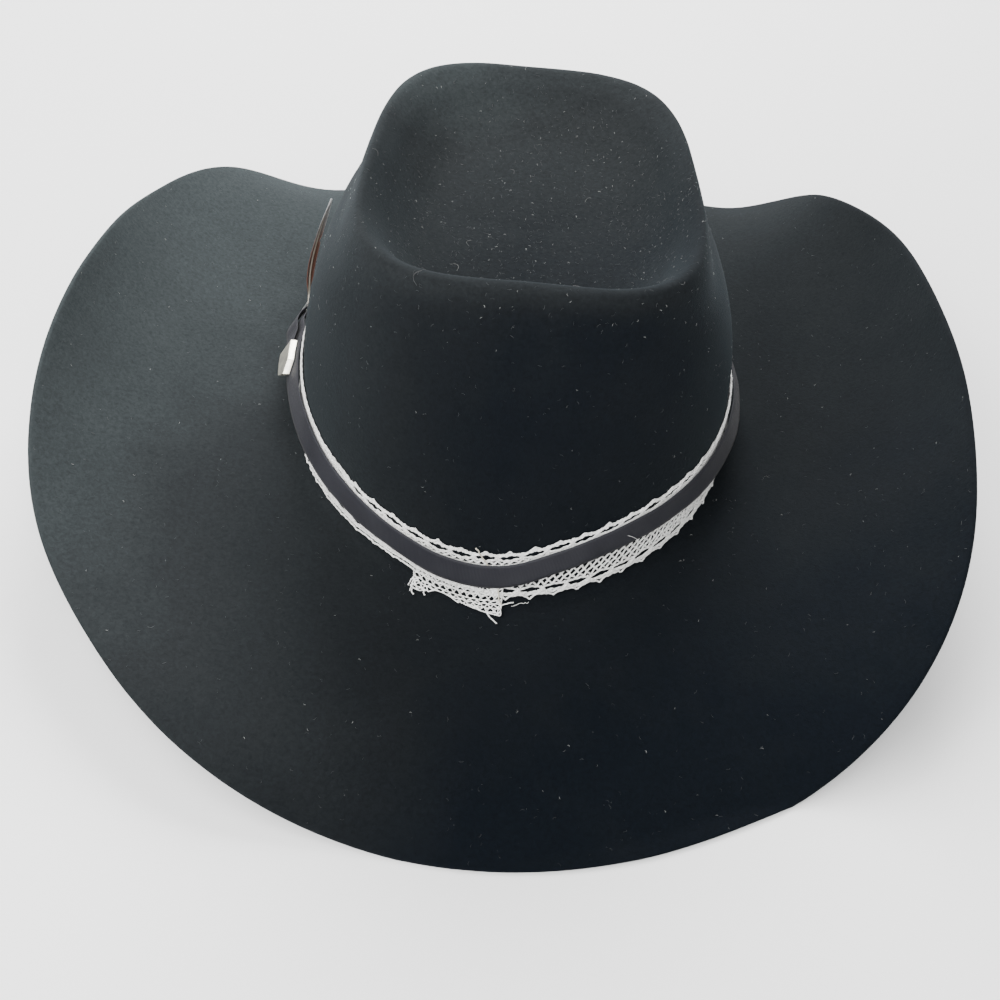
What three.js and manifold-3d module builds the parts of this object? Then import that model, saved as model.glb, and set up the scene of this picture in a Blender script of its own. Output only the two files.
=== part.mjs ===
import * as THREE from 'three';
import { mergeVertices } from 'three/addons/utils/BufferGeometryUtils.js';
import Module from 'manifold-3d';

// A felt cowboy hat lying on its brim, in millimetres with +Z up.
// +Y is the front of the hat and -X is the wearer's left.
// Angles go round the hat in degrees: 0 at the back, 90 at +X, 180 at the front.

// Felt
const feltWall = 2.2;
const crownHalfLength = 102.5; // outside of the crown at its foot, centre to back
const crownHalfWidth = 85.5;
const crownHeight = 122;
const sideRise = 7; // the crown's foot is higher at the sides than at back and front
const brimWidth = 101.5;
const rollGrowth = 1.5; // 1 rolls the brim evenly, more rolls it later
const pressedDepth = 2.8; // the back and front dips are pressed flat by this much
const pressedWidth = 3.5; // width of the flat strip under each dip
const clearance = 0.35; // between pieces that lie on each other

// Lace and ribbon
const bandHeight = 14; // ribbon's centre above the crown's foot, at the back
const laceAbove = 12.5; // upper edge above the ribbon's centre, at the sides
const laceBelow = 19.5; // lower edge below it, where the lace is widest
const laceWall = 1;
const laceRepeats = 60;
const scallopDepth = 1.5;
const slotFromEdge = 4.6; // edge to the middle of a slot
const slotHeight = 2.2;
const slotShare = 0.62; // slot's length in one repeat of the lace
const ribbonWidth = 10;
const ribbonWall = 0.9;
const bandLean = 5.5; // the ribbon's lower edge stands off the lace at the wearer's left
const tailEnd = -87; // angle where the ribbon's outer end stops
const tailSpan = 34; // angle that the outer end lies over the ribbon
const tailWidth = 7; // the outer end narrows to this

// Metal keeper and tip
const metalWall = 0.5;
const keeperAngle = -108;
const keeperLength = 5;
const tipLength = 17;
const tipPoint = 4;
const tipPocket = 8;

// Feather
const featherAngle = -100;
const featherLength = 67;
const featherWidth = 12;
const quillWidth = 2.2;
const quillWall = 1.2;
const vaneWall = 0.5;
const featherTwist = 14; // degrees that the vane turns away from the crown

// Sections of the crown from its foot to the middle of the dent, as shares of the crown's
// half width, half length and height. Taper widens a section at the back, square is the
// power of its superellipse, rise is its share of sideRise, drift moves its front towards the
// wearer's left, and steps is the number of rings up to the next section.
const crownRows = table(
  [
    ['name', 'width', 'taper', 'back', 'front', 'square'],
    ['zBack', 'zSide', 'zFront', 'rise', 'drift', 'steps'],
  ].flat(),
  [
    ['foot', 1.035, -0.05, 1.035, 1.035, 2.05, 0, 0, 0, 1, 0, 1],
    ['bend', 1.012, -0.05, 1.012, 1.012, 2.05, 0.01, 0.01, 0.01, 1, 0, 1],
    ['cove', 1.0, -0.05, 1.0, 1.0, 2.05, 0.036, 0.036, 0.036, 1, 0, 1],
    ['band', 0.985, -0.03, 0.975, 0.985, 2.1, 0.15, 0.15, 0.15, 0.9, 0, 2],
    ['low', 0.953, 0.01, 0.93, 0.96, 2.2, 0.42, 0.42, 0.42, 0.55, 0.01, 2],
    ['high', 0.857, 0.11, 0.87, 0.925, 2.4, 0.71, 0.69, 0.69, 0.2, 0.035, 2],
    ['shoulder', 0.757, 0.135, 0.82, 0.858, 2.7, 0.92, 0.82, 0.865, 0.05, 0.05, 2],
    ['crest', 0.695, 0.09, 0.755, 0.782, 3.3, 1, 0.968, 0.94, 0, 0.03, 2],
    ['lip', 0.63, 0.1, 0.68, 0.71, 3.2, 0.965, 0.935, 0.925, 0, 0.025, 2],
    ['wall', 0.56, 0.09, 0.61, 0.6, 2.8, 0.82, 0.85, 0.87, 0, 0.02, 1],
    ['dent', 0.45, 0.07, 0.52, 0.46, 2.5, 0.74, 0.775, 0.82, 0, 0.02, 1],
    ['floor', 0.23, 0.03, 0.29, 0.23, 2.2, 0.735, 0.75, 0.775, 0, 0.01, 1],
    ['middle', 0, 0, 0, 0, 2, 0.745, 0.745, 0.745, 0, 0, 0],
  ],
);

// Round the hat: roll is the brim's slope at its edge in degrees, reach is the brim's width as a
// share of brimWidth, rise is the height of the crown's foot as a share of sideRise, band is the
// ribbon's height above the foot as a share of bandHeight, lean is a share of bandLean, above is
// a share of laceAbove and below a share of laceBelow.
const roundRows = table(
  ['angle', 'roll', 'reach', 'rise', 'band', 'lean', 'above', 'below'],
  [
    [0, -28, 0.99, 0, 1.12, 0, 0.86, 0.59],
    [15, -37, 1, 0.34, 1.49, 0, 0.74, 0.87],
    [30, -38, 1.01, 0.75, 1.68, 0.05, 0.69, 1.06],
    [45, -9, 1.01, 0.93, 1.73, 0.2, 0.74, 1.13],
    [60, 27, 1, 1, 1.75, 0.45, 0.7, 1.17],
    [75, 59, 0.99, 0.98, 1.73, 0.6, 0.72, 1.14],
    [90, 78, 1, 0.9, 1.6, 0.6, 0.8, 1.02],
    [105, 84, 1, 0.82, 1.47, 0.5, 0.88, 0.95],
    [120, 72, 1, 0.7, 1.35, 0.3, 0.9, 0.87],
    [135, 49, 0.98, 0.51, 1.27, 0.1, 0.9, 0.81],
    [150, -7, 1, 0.3, 1.2, 0, 0.9, 0.76],
    [165, -20, 1.01, 0.11, 1.13, 0, 0.9, 0.71],
    [180, -29, 1, 0, 1.1, 0, 0.9, 0.69],
    [195, -27, 1.01, 0.06, 1.13, 0, 0.9, 0.71],
    [210, -20, 0.99, 0.2, 1.2, 0, 0.9, 0.75],
    [225, 22, 1.01, 0.39, 1.27, 0.22, 0.9, 0.8],
    [240, 45, 0.98, 0.6, 1.35, 0.5, 0.9, 0.85],
    [255, 62, 0.98, 0.77, 1.43, 0.75, 0.9, 0.9],
    [270, 62, 1, 0.9, 1.48, 0.8, 0.85, 0.95],
    [285, 44, 1.01, 0.95, 1.51, 0.6, 0.7, 0.98],
    [300, 18, 1.01, 0.9, 1.51, 0.5, 0.57, 0.98],
    [315, 5, 1, 0.65, 1.41, 0.32, 0.66, 0.78],
    [330, -5, 1.01, 0.35, 1.27, 0.05, 0.78, 0.57],
    [345, -23, 0.99, 0.09, 1.08, 0, 0.84, 0.5],
  ],
);

// Feather's outline from the quill's foot to the tip, in shares of its length and width.
// The left side faces the front of the hat and the right side, with a split, faces the back.
const featherRows = table(
  ['along', 'left', 'right', 'twist'],
  [
    [0, 0, 0, 0],
    [0.14, 0, 0, 0],
    [0.3, 0, 0, 0.3],
    [0.36, 0.28, 0.34, 0.6],
    [0.46, 0.42, 0.5, 0.9],
    [0.58, 0.46, 0.56, 1],
    [0.7, 0.45, 0.54, 1],
    [0.735, 0.44, 0.34, 1],
    [0.76, 0.43, 0.5, 1],
    [0.86, 0.36, 0.4, 1],
    [0.94, 0.22, 0.22, 1],
    [1, 0.03, 0.03, 1],
  ],
);

const feltColumns = 60;
const brimRings = 6;
const ribbonSegments = 84;
const wallSteps = 0.05;

function table(columns, rows) {
  return rows.map((row) => Object.fromEntries(columns.map((name, index) => [name, row[index]])));
}

function radians(degrees) {
  return THREE.MathUtils.degToRad(degrees);
}

function catmull(a, b, c, d, t) {
  const linear = (c - a) * t;
  const square = (2 * a - 5 * b + 4 * c - d) * t * t;
  const cube = (3 * b - a - 3 * c + d) * t * t * t;
  return 0.5 * (2 * b + linear + square + cube);
}

// A smooth curve through the rows of one column, straight past its two ends.
function alongRows(rows, column, position) {
  const last = rows.length - 1;
  const index = THREE.MathUtils.clamp(Math.floor(position), 0, last - 1);
  const value = (k) => rows[k][column];
  const start = value(index);
  const end = value(index + 1);
  const before = index > 0 ? value(index - 1) : 2 * start - end;
  const after = index + 2 <= last ? value(index + 2) : 2 * end - start;
  return catmull(before, start, end, after, position - index);
}

// The same round the hat, where the last row meets the first.
function roundHat(column, angle) {
  const count = roundRows.length;
  const position = THREE.MathUtils.euclideanModulo((angle / 360) * count, count);
  const index = Math.floor(position);
  const value = (k) => roundRows[(k + count) % count][column];
  return catmull(value(index - 1), value(index), value(index + 1), value(index + 2), position - index);
}

function crownSection(position) {
  const columns = Object.keys(crownRows[0]).slice(1, -1);
  return Object.fromEntries(columns.map((name) => [name, alongRows(crownRows, name, position)]));
}

// One point of a crown section: a superellipse whose back, sides and front have their own heights.
function sectionPoint(section, angle) {
  const sine = Math.sin(radians(angle));
  const cosine = Math.cos(radians(angle));
  const power = section.square;
  const radius = (Math.abs(sine) ** power + Math.abs(cosine) ** power) ** (-1 / power);
  const towardsEnd = (cosine * radius) ** 2 / ((cosine * radius) ** 2 + (sine * radius) ** 2);
  const length = cosine > 0 ? section.back : section.front;
  const endHeight = cosine > 0 ? section.zBack : section.zFront;
  const share = section.zSide + (endHeight - section.zSide) * towardsEnd;
  const drift = (section.drift * (1 - cosine * radius)) / 2;
  return new THREE.Vector3(
    crownHalfWidth * (section.width * sine * radius * (1 + section.taper * cosine) - drift),
    -crownHalfLength * length * cosine * radius,
    crownHeight * share + sideRise * section.rise * roundHat('rise', angle),
  );
}

function crownPoint(position, angle) {
  return sectionPoint(crownSection(position), angle);
}

// A point of the brim's top, share 0 at the crown's foot and 1 at the edge.
function brimPoint(share, angle) {
  const spread = 0.1;
  const foot = crownPoint(0, angle);
  const along = crownPoint(0, angle + spread).sub(crownPoint(0, angle - spread)).setZ(0).normalize();
  const outward = new THREE.Vector3(along.y, -along.x, 0);
  const roll = radians(roundHat('roll', angle));
  const slices = 20;
  const slice = (share * brimWidth * roundHat('reach', angle)) / slices;
  for (let k = 0; k < slices; k += 1) {
    const slope = roll * ((share * (k + 0.5)) / slices) ** rollGrowth;
    foot.addScaledVector(outward, Math.cos(slope) * slice);
    foot.z += Math.sin(slope) * slice;
  }
  return foot;
}

// The felt's outer surface: place below 0 is on the brim, from 0 up it counts crown sections.
function feltTop(place, angle) {
  return place < 0 ? brimPoint(-place, angle) : crownPoint(place, angle);
}

function feltNormal(place, angle) {
  if (place >= crownRows.length - 1) {
    return new THREE.Vector3(0, 0, 1);
  }
  const step = 0.002;
  const round = feltTop(place, angle + 0.2).sub(feltTop(place, angle - 0.2));
  const middle = feltTop(place, angle);
  const inward = feltTop(place + step, angle).sub(middle);
  const outward = middle.clone().sub(feltTop(Math.max(place - step, -1), angle));
  const upper = round.clone().cross(inward).normalize();
  const lower = outward.lengthSq() > 0 ? round.clone().cross(outward).normalize() : upper;
  return upper.clone().add(lower).normalize();
}

const wallSections = Array.from({ length: 7 / wallSteps }, (unused, k) => crownSection(k * wallSteps));

// The crown's place that lies a given run up its wall from the foot.
function wallPlace(run, angle) {
  let last = sectionPoint(wallSections[0], angle);
  let length = 0;
  for (let k = 1; k < wallSections.length; k += 1) {
    const next = sectionPoint(wallSections[k], angle);
    const step = next.distanceTo(last);
    if (length + step >= run) {
      return (k - 1 + (run - length) / step) * wallSteps;
    }
    length += step;
    last = next;
  }
  return (wallSections.length - 1) * wallSteps;
}

// A point above the felt: run up the wall, or out on the brim below 0, and height off the felt.
function overFelt(run, angle, height) {
  const place = run < 0 ? run / brimWidth : wallPlace(run, angle);
  return feltTop(place, angle).addScaledVector(feltNormal(place, angle), height);
}

// A point on the hat band: angle round the hat, across from the ribbon's centre, height off the felt.
function overBand(angle, across, height) {
  return overFelt(bandHeight * roundHat('band', angle) + across, angle, height);
}

// A point on the ribbon, whose lower edge leans out from the lace.
function overRibbon(angle, across, height) {
  const share = Math.max(0, 0.5 - across / ribbonWidth);
  const lean = bandLean * Math.max(0, roundHat('lean', angle)) * share;
  return overBand(angle, across, height + lean);
}

// A smooth 0 to 1 step.
function ease(value, start, end) {
  return THREE.MathUtils.smoothstep(value, Math.min(start, end), Math.max(start, end));
}

const laceHeight = clearance + laceWall;
const ribbonHeight = laceHeight + clearance;
const tailHeight = ribbonWall + 2 * clearance + metalWall;
const millimetresPerDegree = overBand(featherAngle + 1, 0, ribbonHeight).distanceTo(
  overBand(featherAngle, 0, ribbonHeight),
);

// The ribbon rises over the feather's quill.
function overQuill(angle) {
  const reach = (4 * quillWidth) / millimetresPerDegree;
  const near = 1 - ease(Math.abs(angle - featherAngle), quillWidth / 2 / millimetresPerDegree, reach);
  return (quillWall + clearance) * near;
}

// Positions and triangles become one closed geometry, moved so that the hat rests on z = 0.
function solidGeometry(points, triangles) {
  const rough = new THREE.BufferGeometry();
  const positions = points.flatMap((p) => [p.x - origin.x, p.y - origin.y, p.z - origin.z]);
  rough.setAttribute('position', new THREE.Float32BufferAttribute(positions, 3));
  rough.setIndex(triangles.flat());
  const welded = mergeVertices(rough, 0.0005);
  const index = welded.index.array;
  const kept = [];
  for (let k = 0; k < index.length; k += 3) {
    const [a, b, c] = index.slice(k, k + 3);
    if (a !== b && b !== c && c !== a) {
      kept.push(a, b, c);
    }
  }
  welded.setIndex(kept);
  return welded;
}

// A wall over a grid of columns and rows, with an outer and an inner skin and a rim along every
// free edge. isOpen leaves cells out, which cuts holes right through.
function wallGeometry({ columns, rows, closed, skins, isOpen = () => false }) {
  const points = [];
  for (let c = 0; c < columns; c += 1) {
    for (let r = 0; r < rows; r += 1) {
      points.push(...skins(c, r));
    }
  }
  const outer = (c, r) => 2 * ((c % columns) * rows + r);
  const inner = (c, r) => outer(c, r) + 1;
  const cellColumns = closed ? columns : columns - 1;
  const isKept = (c, r) => {
    const column = closed ? (c + columns) % columns : c;
    return r >= 0 && r < rows - 1 && column >= 0 && column < cellColumns && !isOpen(column, r);
  };
  const triangles = [];
  const rim = ([c0, r0], [c1, r1]) => {
    triangles.push([outer(c1, r1), outer(c0, r0), inner(c0, r0)]);
    triangles.push([outer(c1, r1), inner(c0, r0), inner(c1, r1)]);
  };
  for (let c = 0; c < cellColumns; c += 1) {
    for (let r = 0; r < rows - 1; r += 1) {
      if (!isKept(c, r)) continue;
      triangles.push([outer(c, r), outer(c + 1, r), outer(c + 1, r + 1)]);
      triangles.push([outer(c, r), outer(c + 1, r + 1), outer(c, r + 1)]);
      triangles.push([inner(c, r), inner(c + 1, r + 1), inner(c + 1, r)]);
      triangles.push([inner(c, r), inner(c, r + 1), inner(c + 1, r + 1)]);
      if (!isKept(c, r - 1)) rim([c, r], [c + 1, r]);
      if (!isKept(c + 1, r)) rim([c + 1, r], [c + 1, r + 1]);
      if (!isKept(c, r + 1)) rim([c + 1, r + 1], [c, r + 1]);
      if (!isKept(c - 1, r)) rim([c, r + 1], [c, r]);
    }
  }
  return solidGeometry(points, triangles);
}

// Rings of points joined into one closed skin with flat ends.
function loftGeometry(rings) {
  const sides = rings[0].length;
  const points = rings.flat();
  const triangles = [];
  for (let k = 0; k < rings.length - 1; k += 1) {
    for (let s = 0; s < sides; s += 1) {
      const next = (s + 1) % sides;
      const [a, b] = [k * sides + s, k * sides + next];
      triangles.push([a, b + sides, b], [a, a + sides, b + sides]);
    }
  }
  const last = (rings.length - 1) * sides;
  for (let s = 1; s < sides - 1; s += 1) {
    triangles.push([0, s, s + 1], [last, last + s + 1, last + s]);
  }
  return solidGeometry(points, triangles);
}

// The felt's places from the brim's edge to the middle of the dent.
function feltPlaces() {
  const strip = pressedWidth / brimWidth;
  const brim = Array.from({ length: brimRings }, (unused, k) => (1 - strip) * (k / brimRings - 1));
  const crown = crownRows.flatMap((row, index) =>
    Array.from({ length: row.steps }, (unused, k) => index + k / row.steps),
  );
  return [-1, ...brim, ...crown, crownRows.length - 1];
}

// The two skins of the felt before it is pressed flat where it rests.
function feltSkins(place, angle) {
  const top = feltTop(place, angle);
  const under = top.clone().addScaledVector(feltNormal(place, angle), -feltWall);
  return [top, under];
}

// The felt is lifted on to the ground where it would reach below it.
function pressedSkins(place, angle) {
  const [top, under] = feltSkins(place, angle);
  const lift = place < 0 ? Math.max(0, origin.z - under.z) : 0;
  top.z += lift;
  under.z = lift > 0 ? origin.z : under.z;
  return [top, under];
}

// The middle of the hat's outline, at the height where both dips are pressed flat.
function restingOrigin() {
  const box = new THREE.Box3();
  const lowest = { back: Infinity, front: Infinity };
  for (let c = 0; c < feltColumns; c += 1) {
    const angle = (c / feltColumns) * 360;
    const skins = feltSkins(-1, angle);
    skins.forEach((point) => box.expandByPoint(point));
    const half = Math.cos(radians(angle)) > 0 ? 'back' : 'front';
    lowest[half] = Math.min(lowest[half], skins[1].z);
  }
  const middle = box.getCenter(new THREE.Vector3());
  return middle.setZ(Math.max(lowest.back, lowest.front) + pressedDepth);
}

const origin = restingOrigin();

function feltGeometry() {
  const places = feltPlaces();
  const skins = (c, r) => pressedSkins(places[r], (c / feltColumns) * 360);
  return wallGeometry({ columns: feltColumns, rows: places.length, closed: true, skins });
}

// The lace has scalloped edges and a row of eye-shaped slots along each of them.
function laceGeometry() {
  const columnShares = [0, slotShare / 2, slotShare];
  const skins = (c, r) => {
    const angle = ((Math.floor(c / 3) + columnShares[c % 3]) / laceRepeats) * 360;
    const isPeak = c % 3 === 1;
    const slot = isPeak ? slotHeight / 2 : slotHeight / 4;
    const fromEdge = [isPeak ? 0 : scallopDepth, slotFromEdge - slot, slotFromEdge + slot];
    const isLower = r < 3;
    const lower = fromEdge[r] - laceBelow * roundHat('below', angle);
    const upper = laceAbove * roundHat('above', angle) - fromEdge[5 - r];
    const across = isLower ? lower : upper;
    return [overBand(angle, across, laceHeight), overBand(angle, across, clearance)];
  };
  const isOpen = (c, r) => c % 3 < 2 && (r === 1 || r === 3);
  return wallGeometry({ columns: 3 * laceRepeats, rows: 6, closed: true, skins, isOpen });
}

// Height of the ribbon's inner face along its length. The tail is its last tailSpan degrees.
function ribbonInner(angle) {
  const tail = ease(angle, tailEnd - tailSpan - 8, tailEnd - tailSpan);
  return ribbonHeight + tailHeight * tail;
}

// The tail narrows towards its end, along its lower edge.
function tailNarrowing(angle) {
  return (ribbonWidth - tailWidth) * ease(angle, keeperAngle, tailEnd);
}

// One strip round the hat whose tail lies over its own start.
function ribbonGeometry() {
  const start = tailEnd - 360 - tailSpan + 2;
  const skins = (c, r) => {
    const angle = THREE.MathUtils.lerp(start, tailEnd, c / ribbonSegments);
    const across = (r - 0.5) * ribbonWidth - r * tailNarrowing(angle);
    const bump = overQuill(angle) + overQuill(angle + 360);
    const inner = ribbonInner(angle) + bump;
    return [overRibbon(angle, across, inner + ribbonWall), overRibbon(angle, across, inner)];
  };
  return wallGeometry({ columns: ribbonSegments + 1, rows: 2, closed: false, skins });
}

// Bends a flat geometry round the hat: x along the ribbon, y across it and z off the felt.
function bendOnRibbon(geometry, angle, middle = 0) {
  const position = geometry.attributes.position;
  const points = Array.from({ length: position.count }, (unused, k) => {
    const along = position.getX(k) / millimetresPerDegree;
    return overRibbon(angle + along, middle + position.getY(k), position.getZ(k));
  });
  const index = Array.from(geometry.index.array);
  const triangles = Array.from({ length: index.length / 3 }, (unused, k) => index.slice(3 * k, 3 * k + 3));
  return solidGeometry(points, triangles);
}

function weldedGeometry(geometry) {
  geometry.deleteAttribute('normal');
  geometry.deleteAttribute('uv');
  return mergeVertices(geometry, 0.0005);
}

// A flat outline in x and y, raised from one height to another.
function raisedOutline(corners, low, high) {
  const shape = new THREE.Shape(corners.map(([x, y]) => new THREE.Vector2(x, y)));
  const options = { depth: high - low, bevelEnabled: false, steps: 1 };
  return weldedGeometry(new THREE.ExtrudeGeometry(shape, options).translate(0, 0, low));
}

// A bent plate over the ribbon and its tail, with a flange down past each edge of the ribbon.
function keeperGeometry() {
  const inside = ribbonWidth / 2 + clearance;
  const outside = inside + metalWall;
  const top = ribbonHeight + tailHeight + ribbonWall + clearance;
  const profile = [
    [-outside, ribbonHeight],
    [-inside, ribbonHeight],
    [-inside, top],
    [inside, top],
    [inside, ribbonHeight],
    [outside, ribbonHeight],
    [outside, top + metalWall],
    [-outside, top + metalWall],
  ];
  const shape = new THREE.Shape(profile.map(([x, y]) => new THREE.Vector2(x, y)));
  const options = { depth: keeperLength, bevelEnabled: false, steps: 2 };
  const plate = new THREE.ExtrudeGeometry(shape, options);
  // turned so that the plate's length runs along the band and its flanges point at the felt
  const turn = new THREE.Matrix4().makeBasis(
    new THREE.Vector3(0, 1, 0),
    new THREE.Vector3(0, 0, 1),
    new THREE.Vector3(1, 0, 0),
  );
  plate.applyMatrix4(turn).translate(-keeperLength / 2, 0, 0);
  return bendOnRibbon(weldedGeometry(plate), keeperAngle);
}

// A pointed metal pocket that holds the end of the ribbon's tail.
function tipGeometry(wasm) {
  const half = tailWidth / 2 + clearance + metalWall;
  const middle = (tailWidth - ribbonWidth) / 2;
  const low = ribbonHeight + tailHeight - clearance - metalWall;
  const high = ribbonHeight + tailHeight + ribbonWall + clearance + metalWall;
  const square = tipLength - tipPoint;
  const outline = [
    [0, -half],
    [square, -half],
    [tipLength, 0],
    [square, half],
    [0, half],
  ];
  const pocketHalf = half - metalWall;
  const pocket = [
    [-1, -pocketHalf],
    [tipPocket + clearance, -pocketHalf],
    [tipPocket + clearance, pocketHalf],
    [-1, pocketHalf],
  ];
  const body = manifoldFrom(wasm, raisedOutline(outline, low, high));
  const hollow = manifoldFrom(wasm, raisedOutline(pocket, low + metalWall, high - metalWall));
  const mesh = body.subtract(hollow).getMesh();
  const geometry = new THREE.BufferGeometry();
  geometry.setAttribute('position', new THREE.BufferAttribute(mesh.vertProperties, 3));
  geometry.setIndex(Array.from(mesh.triVerts));
  return bendOnRibbon(geometry, tailEnd - tipPocket / millimetresPerDegree, middle);
}

function manifoldFrom(wasm, geometry) {
  const mesh = new wasm.Mesh({
    numProp: 3,
    vertProperties: new Float32Array(geometry.attributes.position.array),
    triVerts: new Uint32Array(geometry.index.array),
  });
  return new wasm.Manifold(mesh);
}

// The quill's foot is flat under the ribbon, and the vane stands off the crown as it twists.
function featherGeometry() {
  const footRun = bandHeight * roundHat('band', featherAngle) - ribbonWidth / 2;
  const rings = featherRows.map((row) => {
    const run = footRun + featherLength * row.along;
    const twist = radians(featherTwist) * row.twist;
    const standOff = Math.sin(twist) * featherWidth * 0.5;
    const height = laceHeight + clearance + quillWall / 2 + standOff;
    const centre = overFelt(run, featherAngle, height);
    const normal = overFelt(run, featherAngle, height + 1).sub(centre);
    const side = overFelt(run, featherAngle + 0.5, height).sub(centre).normalize();
    const across = side.clone().multiplyScalar(Math.cos(twist)).addScaledVector(normal, Math.sin(twist));
    const up = normal.clone().multiplyScalar(Math.cos(twist)).addScaledVector(side, -Math.sin(twist));
    const left = Math.max(quillWidth / 2, row.left * featherWidth);
    const right = Math.max(quillWidth / 2, row.right * featherWidth);
    const thin = Math.max(left, right) > quillWidth / 2 ? vaneWall / 2 : quillWall / 2;
    const thick = quillWall / 2 * (1 - 0.6 * row.along);
    const corner = (x, y) => centre.clone().addScaledVector(across, x).addScaledVector(up, y);
    return [
      corner(-left, -thin),
      corner(-quillWidth / 4, -thick),
      corner(quillWidth / 4, -thick),
      corner(right, -thin),
      corner(right, thin),
      corner(quillWidth / 4, thick),
      corner(-quillWidth / 4, thick),
      corner(-left, thin),
    ];
  });
  return loftGeometry(rings);
}

function piece(name, geometry, color, roughness, metalness = 0) {
  geometry.computeVertexNormals();
  const mesh = new THREE.Mesh(geometry, new THREE.MeshStandardMaterial({ color, roughness, metalness }));
  mesh.name = name;
  return mesh;
}

const wasm = await Module();
wasm.setup();

const hat = new THREE.Group();
hat.add(
  piece('felt_body', feltGeometry(), 0x1b2024, 0.95),
  piece('lace_band', laceGeometry(), 0xe8e3d6, 0.85),
  piece('ribbon', ribbonGeometry(), 0x4c4a52, 0.6),
  piece('keeper', keeperGeometry(), 0xc9c6bd, 0.35, 0.9),
  piece('ribbon_tip', tipGeometry(wasm), 0xd8d4c6, 0.35, 0.9),
  piece('feather', featherGeometry(), 0x8d7a66, 0.75),
);

export default hat;
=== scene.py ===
import math

import bmesh
import bpy
import numpy as np
from mathutils import Matrix, Vector


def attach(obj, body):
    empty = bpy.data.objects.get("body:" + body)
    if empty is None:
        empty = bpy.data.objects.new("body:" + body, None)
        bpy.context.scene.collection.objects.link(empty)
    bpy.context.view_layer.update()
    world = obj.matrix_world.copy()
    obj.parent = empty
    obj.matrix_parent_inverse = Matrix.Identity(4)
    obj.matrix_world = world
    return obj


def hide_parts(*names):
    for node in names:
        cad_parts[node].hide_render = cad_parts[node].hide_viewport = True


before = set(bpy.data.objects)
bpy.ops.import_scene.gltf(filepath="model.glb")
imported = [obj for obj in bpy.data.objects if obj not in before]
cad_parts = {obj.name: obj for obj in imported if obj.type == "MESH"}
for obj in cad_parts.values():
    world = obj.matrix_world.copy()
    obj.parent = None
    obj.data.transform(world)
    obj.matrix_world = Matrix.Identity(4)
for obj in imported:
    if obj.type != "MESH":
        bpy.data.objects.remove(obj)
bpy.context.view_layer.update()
print("frame loaded with", len(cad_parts), "nodes")

# Millimetres and degrees. Angles go round the hat: 0 at the back, 90 at the wearer's right,
# 180 at the front.
hatForm = {
    "wall": 2.2,
    "halfLength": 102.5,
    "halfWidth": 85.5,
    "height": 122.0,
    "sideRise": 7.0,
    "brimWidth": 101.5,
    "rollGrowth": 1.5,
    "pressedDepth": 2.8,
    "clearance": 0.35,
    "bandHeight": 14.0,
    "bandLean": 5.5,
    "ribbonWidth": 10.0,
}


def rowTable(columns, rows):
    return {name: np.array([row[k] for row in rows], float) for k, name in enumerate(columns)}


# Sections of the crown from its foot to the middle of the dent
crownSections = rowTable(
    ("width", "taper", "back", "front", "square", "zBack", "zSide", "zFront", "rise", "drift"),
    (
        (1.035, -0.05, 1.035, 1.035, 2.05, 0, 0, 0, 1, 0),
        (1.012, -0.05, 1.012, 1.012, 2.05, 0.01, 0.01, 0.01, 1, 0),
        (1.0, -0.05, 1.0, 1.0, 2.05, 0.036, 0.036, 0.036, 1, 0),
        (0.985, -0.03, 0.975, 0.985, 2.1, 0.15, 0.15, 0.15, 0.9, 0),
        (0.953, 0.01, 0.93, 0.96, 2.2, 0.42, 0.42, 0.42, 0.55, 0.01),
        (0.857, 0.11, 0.87, 0.925, 2.4, 0.71, 0.69, 0.69, 0.2, 0.035),
        (0.757, 0.135, 0.82, 0.858, 2.7, 0.92, 0.82, 0.865, 0.05, 0.05),
        (0.695, 0.09, 0.755, 0.782, 3.3, 1, 0.968, 0.94, 0, 0.03),
        (0.63, 0.1, 0.68, 0.71, 3.2, 0.965, 0.935, 0.925, 0, 0.025),
        (0.56, 0.09, 0.61, 0.6, 2.8, 0.82, 0.85, 0.87, 0, 0.02),
        (0.45, 0.07, 0.52, 0.46, 2.5, 0.74, 0.775, 0.82, 0, 0.02),
        (0.23, 0.03, 0.29, 0.23, 2.2, 0.735, 0.75, 0.775, 0, 0.01),
        (0, 0, 0, 0, 2, 0.745, 0.745, 0.745, 0, 0),
    ),
)
lastSection = len(crownSections["width"]) - 1

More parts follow.
